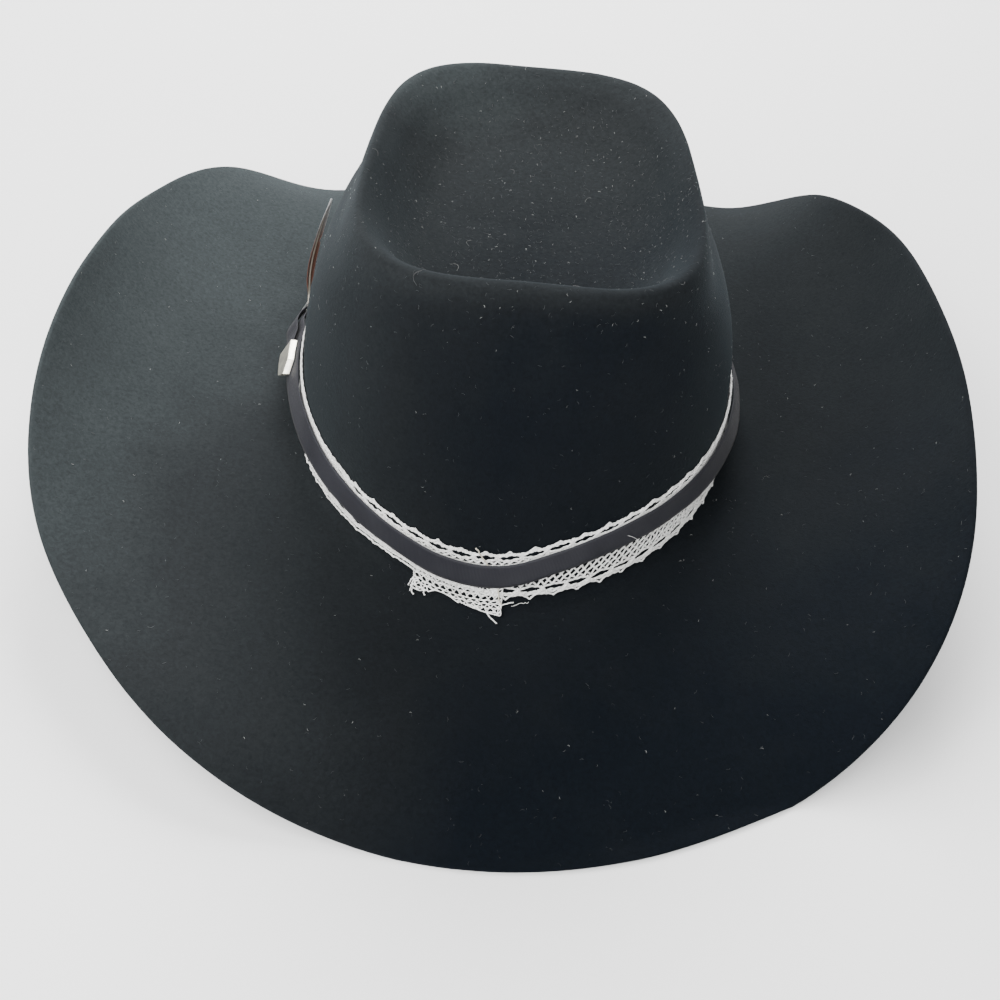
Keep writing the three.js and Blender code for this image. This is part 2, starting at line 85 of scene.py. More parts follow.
# Every 15 degrees round the hat: the brim's roll and reach, the foot's rise, the ribbon's
# height and lean, and how far the lace reaches above and below the ribbon
roundShape = rowTable(
    ("roll", "reach", "rise", "band", "lean", "above", "below"),
    (
        (-28, 0.99, 0, 1.12, 0, 0.86, 0.59),
        (-37, 1, 0.34, 1.49, 0, 0.74, 0.87),
        (-38, 1.01, 0.75, 1.68, 0.05, 0.69, 1.06),
        (-9, 1.01, 0.93, 1.73, 0.2, 0.74, 1.13),
        (27, 1, 1, 1.75, 0.45, 0.7, 1.17),
        (59, 0.99, 0.98, 1.73, 0.6, 0.72, 1.14),
        (78, 1, 0.9, 1.6, 0.6, 0.8, 1.02),
        (84, 1, 0.82, 1.47, 0.5, 0.88, 0.95),
        (72, 1, 0.7, 1.35, 0.3, 0.9, 0.87),
        (49, 0.98, 0.51, 1.27, 0.1, 0.9, 0.81),
        (-7, 1, 0.3, 1.2, 0, 0.9, 0.76),
        (-20, 1.01, 0.11, 1.13, 0, 0.9, 0.71),
        (-29, 1, 0, 1.1, 0, 0.9, 0.69),
        (-27, 1.01, 0.06, 1.13, 0, 0.9, 0.71),
        (-20, 0.99, 0.2, 1.2, 0, 0.9, 0.75),
        (22, 1.01, 0.39, 1.27, 0.22, 0.9, 0.8),
        (45, 0.98, 0.6, 1.35, 0.5, 0.9, 0.85),
        (62, 0.98, 0.77, 1.43, 0.75, 0.9, 0.9),
        (62, 1, 0.9, 1.48, 0.8, 0.85, 0.95),
        (44, 1.01, 0.95, 1.51, 0.6, 0.7, 0.98),
        (18, 1.01, 0.9, 1.51, 0.5, 0.57, 0.98),
        (5, 1, 0.65, 1.41, 0.32, 0.66, 0.78),
        (-5, 1.01, 0.35, 1.27, 0.05, 0.78, 0.57),
        (-23, 0.99, 0.09, 1.08, 0, 0.84, 0.5),
    ),
)


def smoothThrough(before, start, end, after, t):
    linear = (end - before) * t
    square = (2 * before - 5 * start + 4 * end - after) * t * t
    cube = (3 * start - before - 3 * end + after) * t * t * t
    return 0.5 * (2 * start + linear + square + cube)


def sectionValue(column, position):
    values = crownSections[column]
    index = np.clip(np.floor(position).astype(int), 0, lastSection - 1)
    start, end = values[index], values[index + 1]
    before = np.where(index > 0, values[np.maximum(index - 1, 0)], 2 * start - end)
    after = np.where(index < lastSection - 1, values[np.minimum(index + 2, lastSection)], 2 * end - start)
    return smoothThrough(before, start, end, after, position - index)


def roundValue(column, angle):
    values = roundShape[column]
    count = len(values)
    position = np.mod(np.asarray(angle, float) / 360 * count, count)
    index = np.floor(position).astype(int)
    around = [values[(index + k) % count] for k in (-1, 0, 1, 2)]
    return smoothThrough(*around, position - index)


def crownPoint(position, angle):
    position, angle = np.broadcast_arrays(np.asarray(position, float), np.asarray(angle, float))
    sine, cosine = np.sin(np.radians(angle)), np.cos(np.radians(angle))
    power = sectionValue("square", position)
    radius = (np.abs(sine) ** power + np.abs(cosine) ** power) ** (-1 / power)
    towardsEnd = (cosine * radius) ** 2 / ((cosine * radius) ** 2 + (sine * radius) ** 2)
    length = np.where(cosine > 0, sectionValue("back", position), sectionValue("front", position))
    endHeight = np.where(cosine > 0, sectionValue("zBack", position), sectionValue("zFront", position))
    sideHeight = sectionValue("zSide", position)
    taper = 1 + sectionValue("taper", position) * cosine
    drift = sectionValue("drift", position) * (1 - cosine * radius) / 2
    x = hatForm["halfWidth"] * (sectionValue("width", position) * sine * radius * taper - drift)
    y = -hatForm["halfLength"] * length * cosine * radius
    rise = hatForm["sideRise"] * sectionValue("rise", position) * roundValue("rise", angle)
    z = hatForm["height"] * (sideHeight + (endHeight - sideHeight) * towardsEnd) + rise
    return np.stack([x, y, z], -1)


def brimPoint(share, angle):  # share is 0 at the crown's foot and 1 at the brim's edge
    share, angle = np.broadcast_arrays(np.asarray(share, float), np.asarray(angle, float))
    foot = crownPoint(0.0 * share, angle)
    along = crownPoint(0.0 * share, angle + 0.1) - crownPoint(0.0 * share, angle - 0.1)
    along /= np.hypot(along[..., 0], along[..., 1])[..., None]
    roll = np.radians(roundValue("roll", angle))
    slices = 20
    slice = share * hatForm["brimWidth"] * roundValue("reach", angle) / slices
    out, up = np.zeros_like(share), np.zeros_like(share)
    for k in range(slices):
        slope = roll * (share * (k + 0.5) / slices) ** hatForm["rollGrowth"]
        out = out + np.cos(slope) * slice
        up = up + np.sin(slope) * slice
    return foot + np.stack([along[..., 1] * out, -along[..., 0] * out, up], -1)


def feltTop(place, angle):  # place counts crown sections, and below 0 it lies on the brim
    place, angle = np.broadcast_arrays(np.asarray(place, float), np.asarray(angle, float))
    onBrim = brimPoint(np.clip(-place, 0, 1), angle)
    onCrown = crownPoint(np.clip(place, 0, lastSection), angle)
    return np.where((place < 0)[..., None], onBrim, onCrown)


def unit(vectors):
    return vectors / np.maximum(np.linalg.norm(vectors, axis=-1, keepdims=True), 1e-12)


def feltNormal(place, angle):
    place, angle = np.broadcast_arrays(np.asarray(place, float), np.asarray(angle, float))
    step = 0.002
    middle = feltTop(place, angle)
    sideways = feltTop(place, angle + 0.2) - feltTop(place, angle - 0.2)
    inward = feltTop(np.minimum(place + step, lastSection), angle) - middle
    outward = middle - feltTop(np.maximum(place - step, -1), angle)
    upper, lower = unit(np.cross(sideways, inward)), unit(np.cross(sideways, outward))
    normal = unit(upper + lower)
    atMiddle = (place >= lastSection - 0.001)[..., None]
    return np.where(atMiddle, np.array([0.0, 0.0, 1.0]), normal)


def makeWallTable():  # the place that lies a given run up the wall, degree by degree
    steps = np.arange(0, 7.001, 0.05)
    points = crownPoint(steps[None, :], np.arange(361)[:, None])
    lengths = np.linalg.norm(np.diff(points, axis=1), axis=-1)
    runs = np.concatenate([np.zeros((361, 1)), np.cumsum(lengths, axis=1)], axis=1)
    asked = np.arange(0, 130.001, 0.5)
    return np.array([np.interp(asked, run, steps) for run in runs])


wallTable = makeWallTable()


def wallPlace(run, angle):
    column = np.mod(angle, 360)
    row = np.clip(run, 0, 129.9) / 0.5
    c, r = np.floor(column).astype(int), np.floor(row).astype(int)
    u, v = column - c, row - r
    low = wallTable[c, r] * (1 - v) + wallTable[c, r + 1] * v
    high = wallTable[c + 1, r] * (1 - v) + wallTable[c + 1, r + 1] * v
    return low * (1 - u) + high * u


def overFelt(run, angle, height):
    run, angle, height = np.broadcast_arrays(*(np.asarray(v, float) for v in (run, angle, height)))
    place = np.where(run < 0, run / hatForm["brimWidth"], wallPlace(run, angle))
    return feltTop(place, angle) + feltNormal(place, angle) * height[..., None]


def overBand(angle, across, height):  # across is measured from the ribbon's centre
    return overFelt(hatForm["bandHeight"] * roundValue("band", angle) + across, angle, height)


def overRibbon(angle, across, height):  # the ribbon's lower edge leans out from the lace
    share = np.maximum(0, 0.5 - np.asarray(across, float) / hatForm["ribbonWidth"])
    lean = hatForm["bandLean"] * np.maximum(0, roundValue("lean", angle)) * share
    return overBand(angle, across, height + lean)


def restingOrigin():  # the middle of the outline, at the height where both dips are pressed
    angles = np.arange(0, 360, 6)
    top = feltTop(-1.0, angles)
    under = top - feltNormal(-1.0, angles) * hatForm["wall"]
    both = np.concatenate([top, under])
    middle = (both.min(0) + both.max(0)) / 2
    isBack = np.cos(np.radians(angles)) > 0
    middle[2] = max(under[isBack, 2].min(), under[~isBack, 2].min()) + hatForm["pressedDepth"]
    return middle


origin = restingOrigin()


def ease(value, start, end):
    t = np.clip((np.asarray(value, float) - start) / (end - start), 0, 1)
    return t * t * (3 - 2 * t)


def softNoise(points, size, seed):  # smooth values from about -1 to 1
    rng = np.random.default_rng(seed)
    total = np.zeros(points.shape[:-1])
    for _ in range(7):
        direction = unit(rng.normal(size=points.shape[-1]))
        wave = 2 * math.pi / (size * rng.uniform(0.7, 1.6))
        total = total + np.sin(points @ direction * wave + rng.uniform(0, 2 * math.pi))
    return total / 3.5


def meshObject(name, points, faces, material, edges=()):
    mesh = bpy.data.meshes.new(name)
    place = (np.asarray(points, float).reshape(-1, 3) - origin) * 0.001
    mesh.from_pydata(place.tolist(), list(edges), list(faces))
    mesh.materials.append(material)
    made = bpy.data.objects.new(name, mesh)
    bpy.context.scene.collection.objects.link(made)
    for polygon in mesh.polygons:
        polygon.use_smooth = True
    return made


def gridFaces(columns, rows, closed):  # quads over a grid whose rows run fastest
    last = columns if closed else columns - 1
    c, r = np.meshgrid(np.arange(last), np.arange(rows - 1), indexing="ij")
    a, b = c * rows + r, ((c + 1) % columns) * rows + r
    return np.stack([a, b, b + 1, a + 1], -1).reshape(-1, 4).tolist()


def closeMesh(made, distance=2e-6):  # joins doubles and points every face outwards
    work = bmesh.new()
    work.from_mesh(made.data)
    bmesh.ops.remove_doubles(work, verts=work.verts, dist=distance)
    bmesh.ops.dissolve_degenerate(work, dist=distance / 4, edges=work.edges)
    bmesh.ops.recalc_face_normals(work, faces=work.faces)
    work.to_mesh(made.data)
    work.free()
    return made


def setValues(made, name, values):  # one number a point, for the material
    layer = made.data.attributes.new(name, "FLOAT", "POINT")
    layer.data.foreach_set("value", np.asarray(values, np.float32).ravel())


def finishPiece(made, slot, *nodes):
    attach(made, "root")
    if nodes:
        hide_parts(*nodes)
    made.data.calc_loop_triangles()
    print("piece", made.name, len(made.data.loop_triangles), "triangles")
    return made


def newTree(name):
    material = bpy.data.materials.new(name)
    material.use_nodes = True
    tree = material.node_tree
    shader = tree.nodes["Principled BSDF"]
    return material, tree, shader


def addNode(tree, kind, inputs=None, **settings):
    node = tree.nodes.new(kind)
    for key, value in settings.items():
        setattr(node, key, value)
    for key, value in (inputs or {}).items():
        node.inputs[key].default_value = value
    return node


def rampNode(tree, stops):
    ramp = tree.nodes.new("ShaderNodeValToRGB")
    elements = ramp.color_ramp.elements
    while len(elements) < len(stops):
        elements.new(0.5)
    for element, (position, color) in zip(elements, stops):
        element.position = position
        element.color = (*color, 1) if len(color) == 3 else color
    return ramp


def fibreGroup():  # a matted fibre grain: its height, and a mottle from 0 to 1
    group = bpy.data.node_groups.new("fibreGrain", "ShaderNodeTree")
    group.interface.new_socket("Vector", in_out="INPUT", socket_type="NodeSocketVector")
    for name, value in (("Grain", 900.0), ("Mottle", 22.0)):
        socket = group.interface.new_socket(name, in_out="INPUT", socket_type="NodeSocketFloat")
        socket.default_value = value
    group.interface.new_socket("Height", in_out="OUTPUT", socket_type="NodeSocketFloat")
    group.interface.new_socket("Mottle", in_out="OUTPUT", socket_type="NodeSocketFloat")
    start, end = addNode(group, "NodeGroupInput"), addNode(group, "NodeGroupOutput")
    fine = addNode(group, "ShaderNodeTexNoise", {"Detail": 5.0, "Roughness": 0.7, "Distortion": 0.6})
    broad = addNode(group, "ShaderNodeTexNoise", {"Detail": 4.0, "Roughness": 0.6})
    group.links.new(start.outputs["Vector"], fine.inputs["Vector"])
    group.links.new(start.outputs["Grain"], fine.inputs["Scale"])
    group.links.new(start.outputs["Vector"], broad.inputs["Vector"])
    group.links.new(start.outputs["Mottle"], broad.inputs["Scale"])
    group.links.new(fine.outputs["Fac"], end.inputs["Height"])
    group.links.new(broad.outputs["Fac"], end.inputs["Mottle"])
    return group


grain = fibreGroup()

feltLook = {
    # navy to faded grey; the lighter shades are partly painted light
    "fadeAndLightShades": (
        (0.1, (0.0021, 0.0033, 0.0052)),
        (0.27, (0.0056, 0.0067, 0.0078)),
        (0.44, (0.0097, 0.0113, 0.0123)),
        (0.66, (0.0136, 0.0154, 0.0164)),
        (0.8, (0.0234, 0.0277, 0.0289)),
        (1.0, (0.033, 0.039, 0.0406)),
    ),
    "unevenness": 0.2,
    "dust": (0.065, 0.069, 0.067),
    "dustMost": 0.14,
    "sheen": 0.035,
    "sheenRoughness": 0.5,
    "sheenTint": (0.72, 0.9, 1.0),
    "grain": 700.0,
    "mottle": 26.0,
    "bump": 0.5,
}


def makeFeltMaterial():
    material, tree, shader = newTree("blackFelt")
    link = tree.links.new
    where = addNode(tree, "ShaderNodeTexCoord").outputs["Object"]
    fibre = addNode(tree, "ShaderNodeGroup", node_tree=grain)
    fibre.inputs["Grain"].default_value = feltLook["grain"]
    fibre.inputs["Mottle"].default_value = feltLook["mottle"]
    link(where, fibre.inputs["Vector"])
    # the felt is navy, and goes to grey where it is faded and where light is painted into its colour
    toneShare = addNode(tree, "ShaderNodeAttribute", attribute_name="toneShare").outputs["Fac"]
    uneven = addNode(tree, "ShaderNodeMath", operation="MULTIPLY_ADD")
    link(fibre.outputs["Mottle"], uneven.inputs[0])
    uneven.inputs[1].default_value = feltLook["unevenness"]
    link(toneShare, uneven.inputs[2])
    cloth = rampNode(tree, feltLook["fadeAndLightShades"])
    link(uneven.outputs[0], cloth.inputs["Fac"])
    contrast = {"From Min": 0.3, "From Max": 0.7, "To Min": 0.72, "To Max": 1.3}
    speckle = addNode(tree, "ShaderNodeMapRange", contrast)
    link(fibre.outputs["Height"], speckle.inputs["Value"])
    fibres = addNode(tree, "ShaderNodeMix", data_type="RGBA", blend_type="MULTIPLY")
    fibres.inputs["Factor"].default_value = 1.0
    link(cloth.outputs["Color"], fibres.inputs["A"])
    link(speckle.outputs["Result"], fibres.inputs["B"])
    # dust clings in patches where the felt has been touched and left lying
    dustMask = addNode(tree, "ShaderNodeAttribute", attribute_name="dust").outputs["Fac"]
    patches = addNode(tree, "ShaderNodeTexNoise", {"Scale": 620.0, "Detail": 6.0, "Roughness": 0.8})
    link(where, patches.inputs["Vector"])
    thin = {"From Min": 0.44, "From Max": 0.78, "To Max": feltLook["dustMost"]}
    broken = addNode(tree, "ShaderNodeMapRange", thin)
    link(patches.outputs["Fac"], broken.inputs["Value"])
    amount = addNode(tree, "ShaderNodeMath", operation="MULTIPLY")
    link(dustMask, amount.inputs[0])
    link(broken.outputs["Result"], amount.inputs[1])
    mixed = addNode(tree, "ShaderNodeMix", data_type="RGBA")
    link(amount.outputs[0], mixed.inputs["Factor"])
    link(fibres.outputs["Result"], mixed.inputs["A"])
    mixed.inputs["B"].default_value = (*feltLook["dust"], 1)
    link(mixed.outputs["Result"], shader.inputs["Base Color"])
    bump = addNode(tree, "ShaderNodeBump", {"Strength": feltLook["bump"], "Distance": 0.0004})
    link(fibre.outputs["Height"], bump.inputs["Height"])
    link(bump.outputs["Normal"], shader.inputs["Normal"])
    shader.inputs["Roughness"].default_value = 0.95
    shader.inputs["Specular IOR Level"].default_value = 0.06
    shader.inputs["Sheen Weight"].default_value = feltLook["sheen"]
    shader.inputs["Sheen Roughness"].default_value = feltLook["sheenRoughness"]
    shader.inputs["Sheen Tint"].default_value = (*feltLook["sheenTint"], 1)
    return material


def makeThreadMaterial(name, clean, shaded, mottle=60.0, speckled=0.0):
    material, tree, shader = newTree(name)
    link = tree.links.new
    where = addNode(tree, "ShaderNodeTexCoord").outputs["Object"]
    fibre = addNode(tree, "ShaderNodeGroup", node_tree=grain)
    fibre.inputs["Grain"].default_value = 2600.0
    fibre.inputs["Mottle"].default_value = mottle
    link(where, fibre.inputs["Vector"])
    cotton = rampNode(tree, ((0.34, shaded), (0.6, clean)))
    link(fibre.outputs["Mottle"], cotton.inputs["Fac"])
    contrast = {"From Min": 0.36, "From Max": 0.56, "To Min": 1 - speckled}
    speckle = addNode(tree, "ShaderNodeMapRange", contrast)
    link(fibre.outputs["Height"], speckle.inputs["Value"])
    grainy = addNode(tree, "ShaderNodeMix", data_type="RGBA", blend_type="MULTIPLY")
    grainy.inputs["Factor"].default_value = 1.0
    link(cotton.outputs["Color"], grainy.inputs["A"])
    link(speckle.outputs["Result"], grainy.inputs["B"])
    link(grainy.outputs["Result"], shader.inputs["Base Color"])
    bump = addNode(tree, "ShaderNodeBump", {"Strength": 0.5, "Distance": 0.0001})
    link(fibre.outputs["Height"], bump.inputs["Height"])
    link(bump.outputs["Normal"], shader.inputs["Normal"])
    shader.inputs["Roughness"].default_value = 0.85
    shader.inputs["Sheen Weight"].default_value = 0.25
    return material


# The felt body: two skins of felt with a rounded rim
feltBody = {
    "columns": 276,
    "brimRings": 42,
    "ringsPerSection": 7,
    "underEvery": 2,
    "rimSteps": 6,
    "lumps": 0.2,
    "lumpSize": 60.0,
    # These values are partly faded felt and partly painted light: lighter towards the wearer's left, the
    # front, the sides and the back ridge
    "fadeAndLightMiddle": 0.4,
    "fadeAndLightSideways": -0.9,  # more to the wearer's left
    "fadeAndLightForwards": 0.6,
    "fadeAndLightOutwards": 0.75,
    "fadeAndLightRun": 255.0,
    "fadeAndLightMost": 1.6,
    "ridgeFadeAndLight": 0.5,
}


def feltFadeLightAndDust(place, angle, points):  # how faded and how lit each point is painted, and how dusty it is, from 0 to 1
    form = feltBody
    x, y = points[..., 0] - origin[0], points[..., 1] - origin[1]
    slant = form["fadeAndLightSideways"] * x + form["fadeAndLightForwards"] * y + form["fadeAndLightOutwards"] * np.abs(x)
    onCrown = ease(place, 2.0, 4.5)
    inDent = ease(y, -10, 70)
    # Painted light and fade: lighter towards the wearer's left, the front and the sides, and on the crown's
    # top towards the dent's front
    toneShare = form["fadeAndLightMiddle"] + slant / form["fadeAndLightRun"] + onCrown * (0.6 * inDent - 0.1)
    turned = np.mod(angle + 180, 360) - 180
    # The back ridge and the near-left brim are made lighter below, a painted highlight that is partly wear
    backRidge = np.exp(-(((place - 6.9) / 0.55) ** 2) - (turned / 62) ** 2)
    nearLeft = np.exp(-(((place + 0.75) / 0.3) ** 2) - ((turned + 32) / 26) ** 2)
    toneShare = toneShare + form["ridgeFadeAndLight"] * backRidge + 0.22 * nearLeft
    dent = ease(place, 8.0, 9.2)
    rightRidge = ease(place, 6.2, 7.4) * (1 - ease(place, 8.2, 9.0)) * np.exp(-(((angle - 88) / 26) ** 2))
    shoulders = 0.2 * ease(place, 5.0, 6.4)
    dust = 0.03 + np.maximum(dent * 0.75, np.maximum(rightRidge, shoulders))
    return 0.9 * np.clip(toneShare / form["fadeAndLightMost"], 0, 1), np.clip(dust, 0, 1)


def makeFelt():
    material = makeFeltMaterial()
    inset = hatForm["wall"] / 2 / hatForm["brimWidth"]
    brim = np.linspace(-1 + inset, 0, feltBody["brimRings"], endpoint=False)
    crown = np.linspace(0, lastSection, lastSection * feltBody["ringsPerSection"] + 1)
    places = np.concatenate([brim, crown])
    angles = np.arange(feltBody["columns"]) * 360 / feltBody["columns"]
    place, angle = np.meshgrid(places, angles, indexing="xy")
    top, normal = feltTop(place, angle), feltNormal(place, angle)
    free = ease(place, 3.4, 4.8) + ease(-place, 0.1, 0.35)  # level where the band lies
    lumps = softNoise(top, feltBody["lumpSize"], 4) + 0.25 * softNoise(top, feltBody["lumpSize"] / 3, 5)
    top = top + normal * (lumps * free * feltBody["lumps"])[..., None]
    under = top - normal * hatForm["wall"]
    lift = np.where(place < 0, np.maximum(0, origin[2] - under[..., 2]), 0)
    top[..., 2] += lift
    under[..., 2] = np.where(lift > 0, origin[2], under[..., 2])
    outward = unit(top[:, 0] - top[:, 1])
    middle, half = (top[:, 0] + under[:, 0]) / 2, (top[:, 0] - under[:, 0]) / 2
    turns = np.linspace(math.pi, 0, feltBody["rimSteps"] + 2)[1:-1]
    rim = [middle + half * math.cos(t) + outward * math.sin(t) * hatForm["wall"] / 2 for t in turns]
    underRows = list(range(0, len(places), feltBody["underEvery"]))
    if underRows[-1] != len(places) - 1:
        underRows.append(len(places) - 1)
    skins = np.concatenate([under[:, underRows][:, ::-1], np.stack(rim, 1), top], axis=1)
    skins[..., 2] = np.maximum(skins[..., 2], origin[2])
    made = meshObject("feltBody", skins, gridFaces(skins.shape[0], skins.shape[1], True), material)
    rimPlace = np.repeat(place[:, :1], feltBody["rimSteps"], axis=1)
    allPlaces = np.concatenate([place[:, underRows][:, ::-1], rimPlace, place], axis=1)
    # the first share is fade and painted light, the second is dust
    toneShare, dust = feltFadeLightAndDust(allPlaces, angle[:, :1], skins)
    dust[:, : skins.shape[1] - len(places)] = 0
    setValues(made, "toneShare", toneShare)
    setValues(made, "dust", dust)
    closeMesh(made)
    cover = meshObject("feltCover", top, gridFaces(top.shape[0], top.shape[1], True), material)
    setValues(cover, "dust", feltFadeLightAndDust(place, angle, top)[1])
    return finishPiece(made, "felt", "felt_body"), cover


felt, feltCover = makeFelt()


# Threads are drawn as lines of edges, and one tree sweeps a round thread along them.
def sweepTree():
    tree = bpy.data.node_groups.new("sweepThreads", "GeometryNodeTree")
    face = tree.interface
    face.new_socket("Geometry", in_out="INPUT", socket_type="NodeSocketGeometry")
    for name, kind in (("Thread radius", "Float"), ("Sides", "Int"), ("Material", "Material")):
        face.new_socket(name, in_out="INPUT", socket_type="NodeSocket" + kind)
    face.new_socket("Geometry", in_out="OUTPUT", socket_type="NodeSocketGeometry")
    start, end = addNode(tree, "NodeGroupInput"), addNode(tree, "NodeGroupOutput")
    lines = addNode(tree, "GeometryNodeMeshToCurve")
    circle = addNode(tree, "GeometryNodeCurvePrimitiveCircle")
    sweep = addNode(tree, "GeometryNodeCurveToMesh", {"Fill Caps": True})
    smooth = addNode(tree, "GeometryNodeSetShadeSmooth")
    real = addNode(tree, "GeometryNodeRealizeInstances")
    paint = addNode(tree, "GeometryNodeSetMaterial")
    tree.links.new(start.outputs["Geometry"], lines.inputs["Mesh"])
    tree.links.new(start.outputs["Thread radius"], circle.inputs["Radius"])
    tree.links.new(start.outputs["Sides"], circle.inputs["Resolution"])
    tree.links.new(lines.outputs["Curve"], sweep.inputs["Curve"])
    tree.links.new(circle.outputs["Curve"], sweep.inputs["Profile Curve"])
    tree.links.new(sweep.outputs["Mesh"], smooth.inputs["Geometry"])
    tree.links.new(smooth.outputs["Geometry"], real.inputs["Geometry"])
    tree.links.new(real.outputs["Geometry"], paint.inputs["Geometry"])
    tree.links.new(start.outputs["Material"], paint.inputs["Material"])
    tree.links.new(paint.outputs["Geometry"], end.inputs["Geometry"])
    return tree


def growMesh(made, tree, values):  # runs a tree over a piece and keeps the plain mesh
    modifier = made.modifiers.new("grow", "NODES")
    modifier.node_group = tree
    for item in tree.interface.items_tree:
        if item.item_type == "SOCKET" and item.in_out == "INPUT" and item.name in values:
            modifier[item.identifier] = values[item.name]
    view = bpy.context.evaluated_depsgraph_get()
    mesh = bpy.data.meshes.new_from_object(made.evaluated_get(view))
    made.modifiers.remove(modifier)
    made.data = mesh
    return made


threadTree = sweepTree()


def threadObject(name, paths, radius, material, sides=4):
    points = np.concatenate(paths)
    edges, first = [], 0
    for path in paths:
        edges += [(first + k, first + k + 1) for k in range(len(path) - 1)]
        first += len(path)
    made = meshObject(name, points, [], material, edges)
    values = {"Thread radius": radius * 0.001, "Sides": sides, "Material": material}
    return growMesh(made, threadTree, values)


# Lint on the felt: one tree scatters short curled hairs, more of them where dust lies
lintForm = {
    "fluff": {"density": 150000.0, "radius": 0.028, "length": 1.1, "curl": 0.35, "lift": 0.25, "seed": 5},
    "lint": {"density": 26000.0, "radius": 0.05, "length": 0.6, "curl": 0.5, "lift": 0.2, "seed": 12},
    "hair": {"density": 900.0, "radius": 0.045, "length": 3.6, "curl": 0.8, "lift": 0.3, "seed": 23},
    "everywhere": 0.05,  # share of the hairs that lies where no dust is
}


def scatterTree():
    tree = bpy.data.node_groups.new("scatterLint", "GeometryNodeTree")
    face = tree.interface
    face.new_socket("Geometry", in_out="INPUT", socket_type="NodeSocketGeometry")
    for name in ("Density", "Everywhere", "Hair radius", "Length", "Curl", "Lift"):
        face.new_socket(name, in_out="INPUT", socket_type="NodeSocketFloat")
    face.new_socket("Seed", in_out="INPUT", socket_type="NodeSocketInt")
    face.new_socket("Material", in_out="INPUT", socket_type="NodeSocketMaterial")
    face.new_socket("Geometry", in_out="OUTPUT", socket_type="NodeSocketGeometry")
    start, end = addNode(tree, "NodeGroupInput"), addNode(tree, "NodeGroupOutput")
    link = tree.links.new
    dust = addNode(tree, "GeometryNodeInputNamedAttribute", {"Name": "dust"}, data_type="FLOAT")
    more = addNode(tree, "ShaderNodeMath", operation="ADD")
    link(dust.outputs["Attribute"], more.inputs[0])
    link(start.outputs["Everywhere"], more.inputs[1])
    amount = addNode(tree, "ShaderNodeMath", operation="MULTIPLY")
    link(more.outputs[0], amount.inputs[0])
    link(start.outputs["Density"], amount.inputs[1])
    points = addNode(tree, "GeometryNodeDistributePointsOnFaces")
    link(start.outputs["Geometry"], points.inputs["Mesh"])
    link(amount.outputs[0], points.inputs["Density"])
    link(start.outputs["Seed"], points.inputs["Seed"])
    # one curled hair, lying along X and bent towards Y
    half = addNode(tree, "ShaderNodeMath", operation="MULTIPLY")
    link(start.outputs["Length"], half.inputs[0])
    half.inputs[1].default_value = 0.5
    less = addNode(tree, "ShaderNodeMath", operation="MULTIPLY")
    link(half.outputs[0], less.inputs[0])
    less.inputs[1].default_value = -1.0
    bend = addNode(tree, "ShaderNodeMath", operation="MULTIPLY")
    link(start.outputs["Length"], bend.inputs[0])
    link(start.outputs["Curl"], bend.inputs[1])
    ends = []
    for x, y in ((less, None), (None, bend), (half, None)):
        corner = addNode(tree, "ShaderNodeCombineXYZ")
        if x:
            link(x.outputs[0], corner.inputs["X"])
        if y:
            link(y.outputs[0], corner.inputs["Y"])
        if y:
            link(start.outputs["Lift"], corner.inputs["Z"])
        ends.append(corner)
    hair = addNode(tree, "GeometryNodeCurveQuadraticBezier", {"Resolution": 5})
    for corner, socket in zip(ends, ("Start", "Middle", "End")):
        link(corner.outputs[0], hair.inputs[socket])
    ring = addNode(tree, "GeometryNodeCurvePrimitiveCircle", {"Resolution": 3})
    link(start.outputs["Hair radius"], ring.inputs["Radius"])
    tube = addNode(tree, "GeometryNodeCurveToMesh", {"Fill Caps": True})
    link(hair.outputs["Curve"], tube.inputs["Curve"])
    link(ring.outputs["Curve"], tube.inputs["Profile Curve"])
    spin = addNode(tree, "FunctionNodeRandomValue", data_type="FLOAT_VECTOR")
    spin.inputs["Min"].default_value = (-0.2, -0.2, 0.0)
    spin.inputs["Max"].default_value = (0.2, 0.2, 2 * math.pi)
    link(start.outputs["Seed"], spin.inputs["Seed"])
    turned = addNode(tree, "FunctionNodeRotateRotation", rotation_space="LOCAL")
    link(points.outputs["Rotation"], turned.inputs["Rotation"])
    link(spin.outputs["Value"], turned.inputs["Rotate By"])
    sizes = addNode(tree, "FunctionNodeRandomValue", data_type="FLOAT")
    sizes.inputs[2].default_value, sizes.inputs[3].default_value = 0.35, 1.5
    link(start.outputs["Seed"], sizes.inputs["Seed"])
    spread = addNode(tree, "GeometryNodeInstanceOnPoints")
    link(points.outputs["Points"], spread.inputs["Points"])
    link(tube.outputs["Mesh"], spread.inputs["Instance"])
    link(turned.outputs["Rotation"], spread.inputs["Rotation"])
    link(sizes.outputs[1], spread.inputs["Scale"])
    real = addNode(tree, "GeometryNodeRealizeInstances")
    paint = addNode(tree, "GeometryNodeSetMaterial")
    link(spread.outputs["Instances"], real.inputs["Geometry"])
    link(real.outputs["Geometry"], paint.inputs["Geometry"])
    link(start.outputs["Material"], paint.inputs["Material"])
    link(paint.outputs["Geometry"], end.inputs["Geometry"])
    return tree


